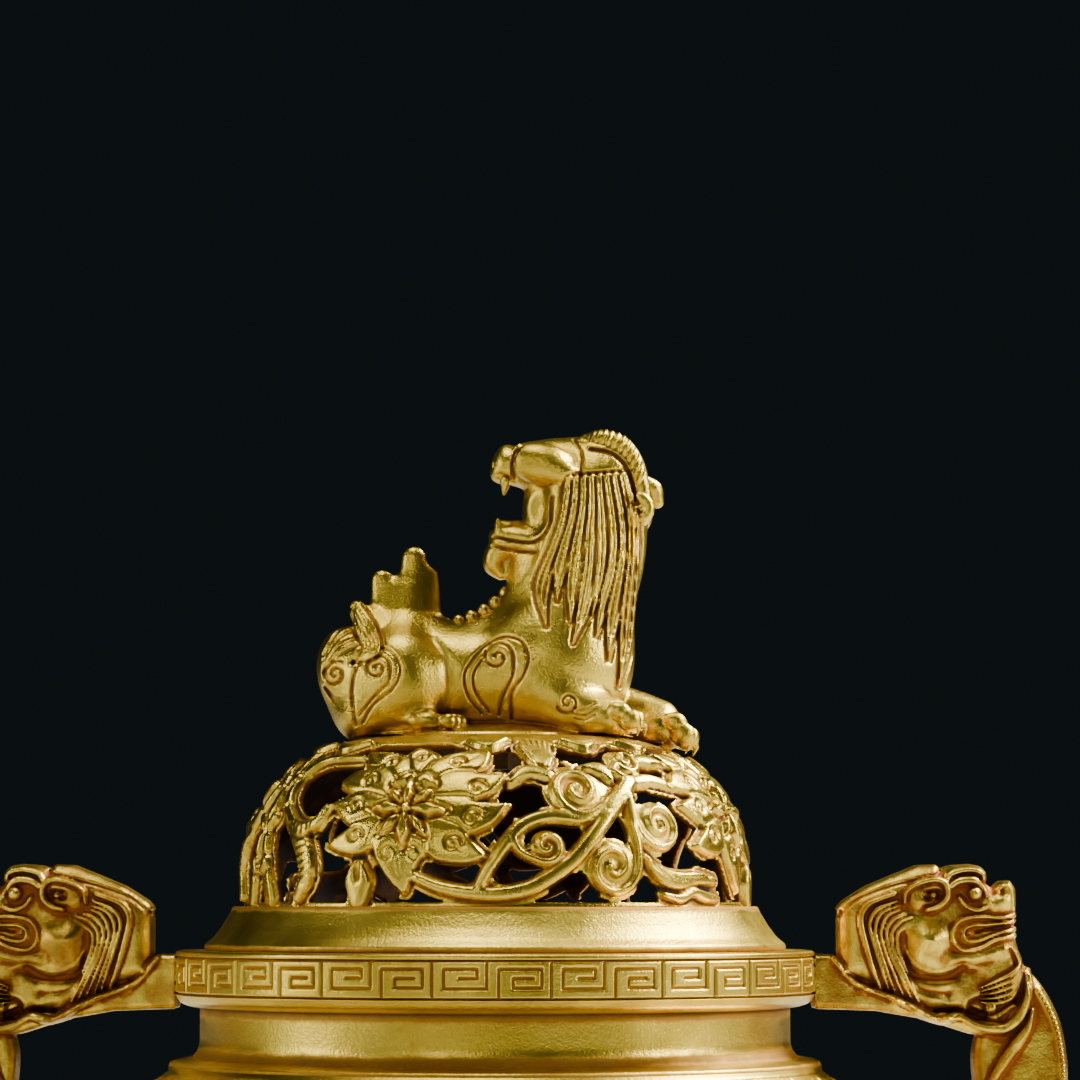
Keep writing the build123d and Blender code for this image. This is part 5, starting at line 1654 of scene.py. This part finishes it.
# ---- the legs, each modelled along its own outward line ----
LEG_ANGLES = {"leg_front": -90, "leg_back_right": 30, "leg_back_left": 150}
FIXINGS = ("finial_screw", "finial_washer", "rim_pins_right", "rim_pins_left", "handle_foot_rivets",
           "leg_screws")


def leg_clay(step):
    """A cabriole leg with a curled knee and a clawed paw."""
    clay = Clay((44.0, -11.0, -0.6), (70.0, 11.0, 53.0), step)
    clay.limb([(59.4, 0, 50), (60.2, 0, 42), (60.0, 0, 34), (58.8, 0, 25), (57.4, 0, 17), (56.8, 0, 11),
               (57.4, 0, 5)], [5.6, 8.0, 7.4, 5.4, 4.6, 4.4, 5.4], blend=1)
    clay.blob((60.4, 0, 39.5), (7.6, 9.4, 9.6), blend=3)
    clay.blob((58.4, 0, 4.2), (7.0, 7.4, 4.4), blend=2)
    for k in range(5):
        turn = radians(-68 + 34 * k)
        c, s = cos(turn), sin(turn)
        clay.blob((58.0 + 6.0 * c, 6.0 * s, 3.0), (2.1, 1.9, 2.8), blend=0.5)
        clay.blob((57.6 + 3.9 * c, 3.9 * s, 6.8), (1.7, 1.5, 1.5), blend=0.6)
        claw = [(58.0 + 7.0 * c, 7.0 * s, 2.4), (58.0 + 7.6 * c, 7.6 * s, 0.6)]
        clay.limb(claw, [0.8, 0.3], blend=0.3, smooth=False)
    # curled knee: a roll on each side, and a raised leaf down the shin
    for side in (-1, 1):
        roll = [(61.0 + 5.0 * sin(turn), side * (6.6 - 1.2 * cos(turn)), 37.0 - 4.2 * cos(turn))
                for turn in np.linspace(0.2, 5.2, 12)]
        inner = [(63.6, side * 2.6, 30), (61.2, side * 2.2, 22), (60.2, side * 1.6, 15)]
        outer = [(64.6, side * 4.4, 34), (61.4, side * 4.2, 27), (60.4, side * 2.6, 20)]
        clay.limb(roll, [1.5, 1.3, 1.0, 0.6], blend=0.5, smooth=False)
        clay.limb(inner, [1.3, 1.0, 0.4], blend=0.5)
        clay.limb(outer, [1.2, 0.9, 0.3], blend=0.5)
    clay.limb([(67.2, 0, 43), (66.2, 0, 35), (63.0, 0, 26), (61.0, 0, 17)], [1.5, 1.6, 1.1, 0.4], blend=0.6)
    for k in range(4):
        clay.limb([(67.0 - 0.5 * k, -2.4, 45.0 - 4.2 * k), (67.6 - 0.6 * k, 0, 43.6 - 4.2 * k),
                   (67.0 - 0.5 * k, 2.4, 45.0 - 4.2 * k)], [0.4, 0.8, 0.4], blend=0.4)
    x, y, z = clay.everywhere()
    bowl_r = np.interp(z, BOWL_SIDE[:, 1], BOWL_SIDE[:, 0], left=0)
    outside_bowl = np.where(z < BOWL.base, -FAR, bowl_r - 0.6 - np.hypot(x, y))
    clay.field = np.maximum(np.maximum(clay.field, outside_bowl), -z).astype(np.float32)
    return clay


class CENSER_OT_legs(bpy.types.Operator):
    """Sculpts the three legs, and finishes the screws, pins and rivets"""
    bl_idname = "censer.legs"
    bl_label = "Legs and fixings"

    def execute(self, context):
        step = 0.35
        clay = leg_clay(step)
        points, quads, stain_and_shade = skin(clay.field, step)
        points = points * step + clay.low
        for node, angle in LEG_ANGLES.items():
            c, s = cos(radians(angle)), sin(radians(angle))
            turned = points @ np.array(((c, s, 0), (-s, c, 0), (0, 0, 1)))
            leg = add_parts([node + "_paw"], turned, quads, stain_and_shade, np.zeros(len(quads)))[0]
            hand_over(leg, "vessel", "leg_gilt", finish("gilt_relief"), node)
        for node in FIXINGS:
            fixing = bpy.data.objects[node]
            fixing.data.materials.clear()
            fixing.data.materials.append(finish("dull_brass"))
        return {"FINISHED"}


# ---- sizes and colours a user can change ----
def length(name, description, millimetres):
    """A length that the panel shows, given in millimetres."""
    return bpy.props.FloatProperty(name=name, description=description, default=millimetres * MM,
                                   min=0.2 * MM, max=5 * MM, unit="LENGTH")


class CenserSizes(bpy.types.PropertyGroup):
    spine_bead_spacing: length("Spine bead spacing", "Step between the beads on the lion's back", 2.35)
    spine_bead_radius: length("Spine bead radius", "Size of the beads on the lion's back", 1.3)
    edge_bead_spacing: length("Edge bead spacing", "Step between the beads on the handles' edges", 0.9)
    edge_bead_radius: length("Edge bead radius", "Size of the beads on the handles' edges", 0.48)


def colour(name, description, default):
    """A colour that the panel shows."""
    return bpy.props.FloatVectorProperty(name=name, description=description, subtype="COLOR", default=default,
                                         min=0, max=1)


class CenserFinish(bpy.types.PropertyGroup):
    gold: colour("Gold", "Colour of the gilding where it is bright", (0.90, 0.64, 0.07))
    gold_shade: colour("Gold shade", "Colour of the gilding where it is duller", (0.62, 0.42, 0.035))
    recess: colour("Recess", "Colour of the low places", (0.27, 0.075, 0.008))


# ---- floor, lights and camera ----
FLOOR_HALF = 1.2
LIGHTS = (                      # (name, place, width and height of the lit sheet, power)
    ("key", (0.62, 0.22, 0.80), (0.22, 0.22), 24),
    ("front", (-0.35, -0.95, 0.42), (0.34, 0.24), 1.3),
    ("left", (-0.80, -0.25, 0.35), (0.14, 0.5), 2.3),
    ("right", (0.90, -0.25, 0.42), (0.10, 0.14), 6.0),
    ("top", (-0.1, -0.1, 1.0), (0.4, 0.3), 4),
)
DARK_ROOM = (0.0055, 0.0078, 0.0088, 1)
CAMERA_PLACE = Vector((0.0077, -0.700, 0.114))
CAMERA_AIM = Vector((0.0077, 0, 0.1765))
LENS, SENSOR = 134.6, 36


def area_light(name, place, target, size, power):
    """A flat lamp that faces the target."""
    data = bpy.data.lights.new(name, "AREA")
    data.shape = "RECTANGLE"
    data.size, data.size_y = size
    data.energy = power
    lamp = bpy.data.objects.new(name, data)
    bpy.context.scene.collection.objects.link(lamp)
    lamp.location = place
    lamp.rotation_euler = (Vector(target) - Vector(place)).to_track_quat("-Z", "Y").to_euler()


def make_floor():
    """A sheet of pale paper under the legs."""
    corners = np.array([(-1, -1, 0), (1, -1, 0), (1, 1, 0), (-1, 1, 0)]) * FLOOR_HALF / MM
    floor = add_mesh("floor", corners, np.array([(0, 1, 2, 3)]))
    paint = Paint("floor_paper")
    tone = paint.mix(paint.noise(60, 3), (0.60, 0.60, 0.59), (0.66, 0.66, 0.65))
    paint.link(tone, paint.shader.inputs["Base Color"])
    paint.shader.inputs["Roughness"].default_value = 0.8
    paint.link(paint.bump(paint.noise(1.5, 3), 0.05, 0.2), paint.shader.inputs["Normal"])
    floor.data.materials.append(paint.material)


class CENSER_OT_stage(bpy.types.Operator):
    """Sets the floor, the soft lights and the camera"""
    bl_idname = "censer.stage"
    bl_label = "Stage"

    def execute(self, context):
        make_floor()
        middle = (0, 0, DOME_BEND_Z * MM)
        for name, place, size, power in LIGHTS:
            area_light(name, place, middle, size, power)
        world = bpy.data.worlds.new("dark_room")
        world.use_nodes = True
        world.node_tree.nodes["Background"].inputs["Color"].default_value = DARK_ROOM
        context.scene.world = world
        data = bpy.data.cameras.new("camera")
        data.sensor_width = SENSOR
        data.lens = LENS
        camera = bpy.data.objects.new("camera", data)
        context.scene.collection.objects.link(camera)
        camera.location = CAMERA_PLACE
        camera.rotation_euler = (CAMERA_AIM - CAMERA_PLACE).to_track_quat("-Z", "Y").to_euler()
        context.scene.camera = camera
        return {"FINISHED"}


OPERATORS = (CENSER_OT_dome, CENSER_OT_turned, CENSER_OT_bowl, CENSER_OT_handles, CENSER_OT_legs,
             CENSER_OT_lion, CENSER_OT_stage)


class CENSER_PT_panel(bpy.types.Panel):
    bl_idname = "CENSER_PT_panel"
    bl_label = "Incense burner"
    bl_space_type = "VIEW_3D"
    bl_region_type = "UI"
    bl_category = PANEL_TAB

    def draw(self, context):
        for group in (context.scene.censer_sizes, context.scene.censer_finish):
            for label in group.__annotations__:
                self.layout.prop(group, label)
        for operator in OPERATORS:
            self.layout.operator(operator.bl_idname)


CLASSES = (CenserSizes, CenserFinish, *OPERATORS, CENSER_PT_panel)


def register():
    for cls in CLASSES:
        bpy.utils.register_class(cls)
    bpy.types.Scene.censer_sizes = bpy.props.PointerProperty(type=CenserSizes)
    bpy.types.Scene.censer_finish = bpy.props.PointerProperty(type=CenserFinish)


def unregister():
    del bpy.types.Scene.censer_finish
    del bpy.types.Scene.censer_sizes
    for cls in reversed(CLASSES):
        bpy.utils.unregister_class(cls)


def main():
    register()
    for operator in OPERATORS:
        group, name = operator.bl_idname.split(".")
        getattr(getattr(bpy.ops, group), name)()


if __name__ == "__main__":
    main()
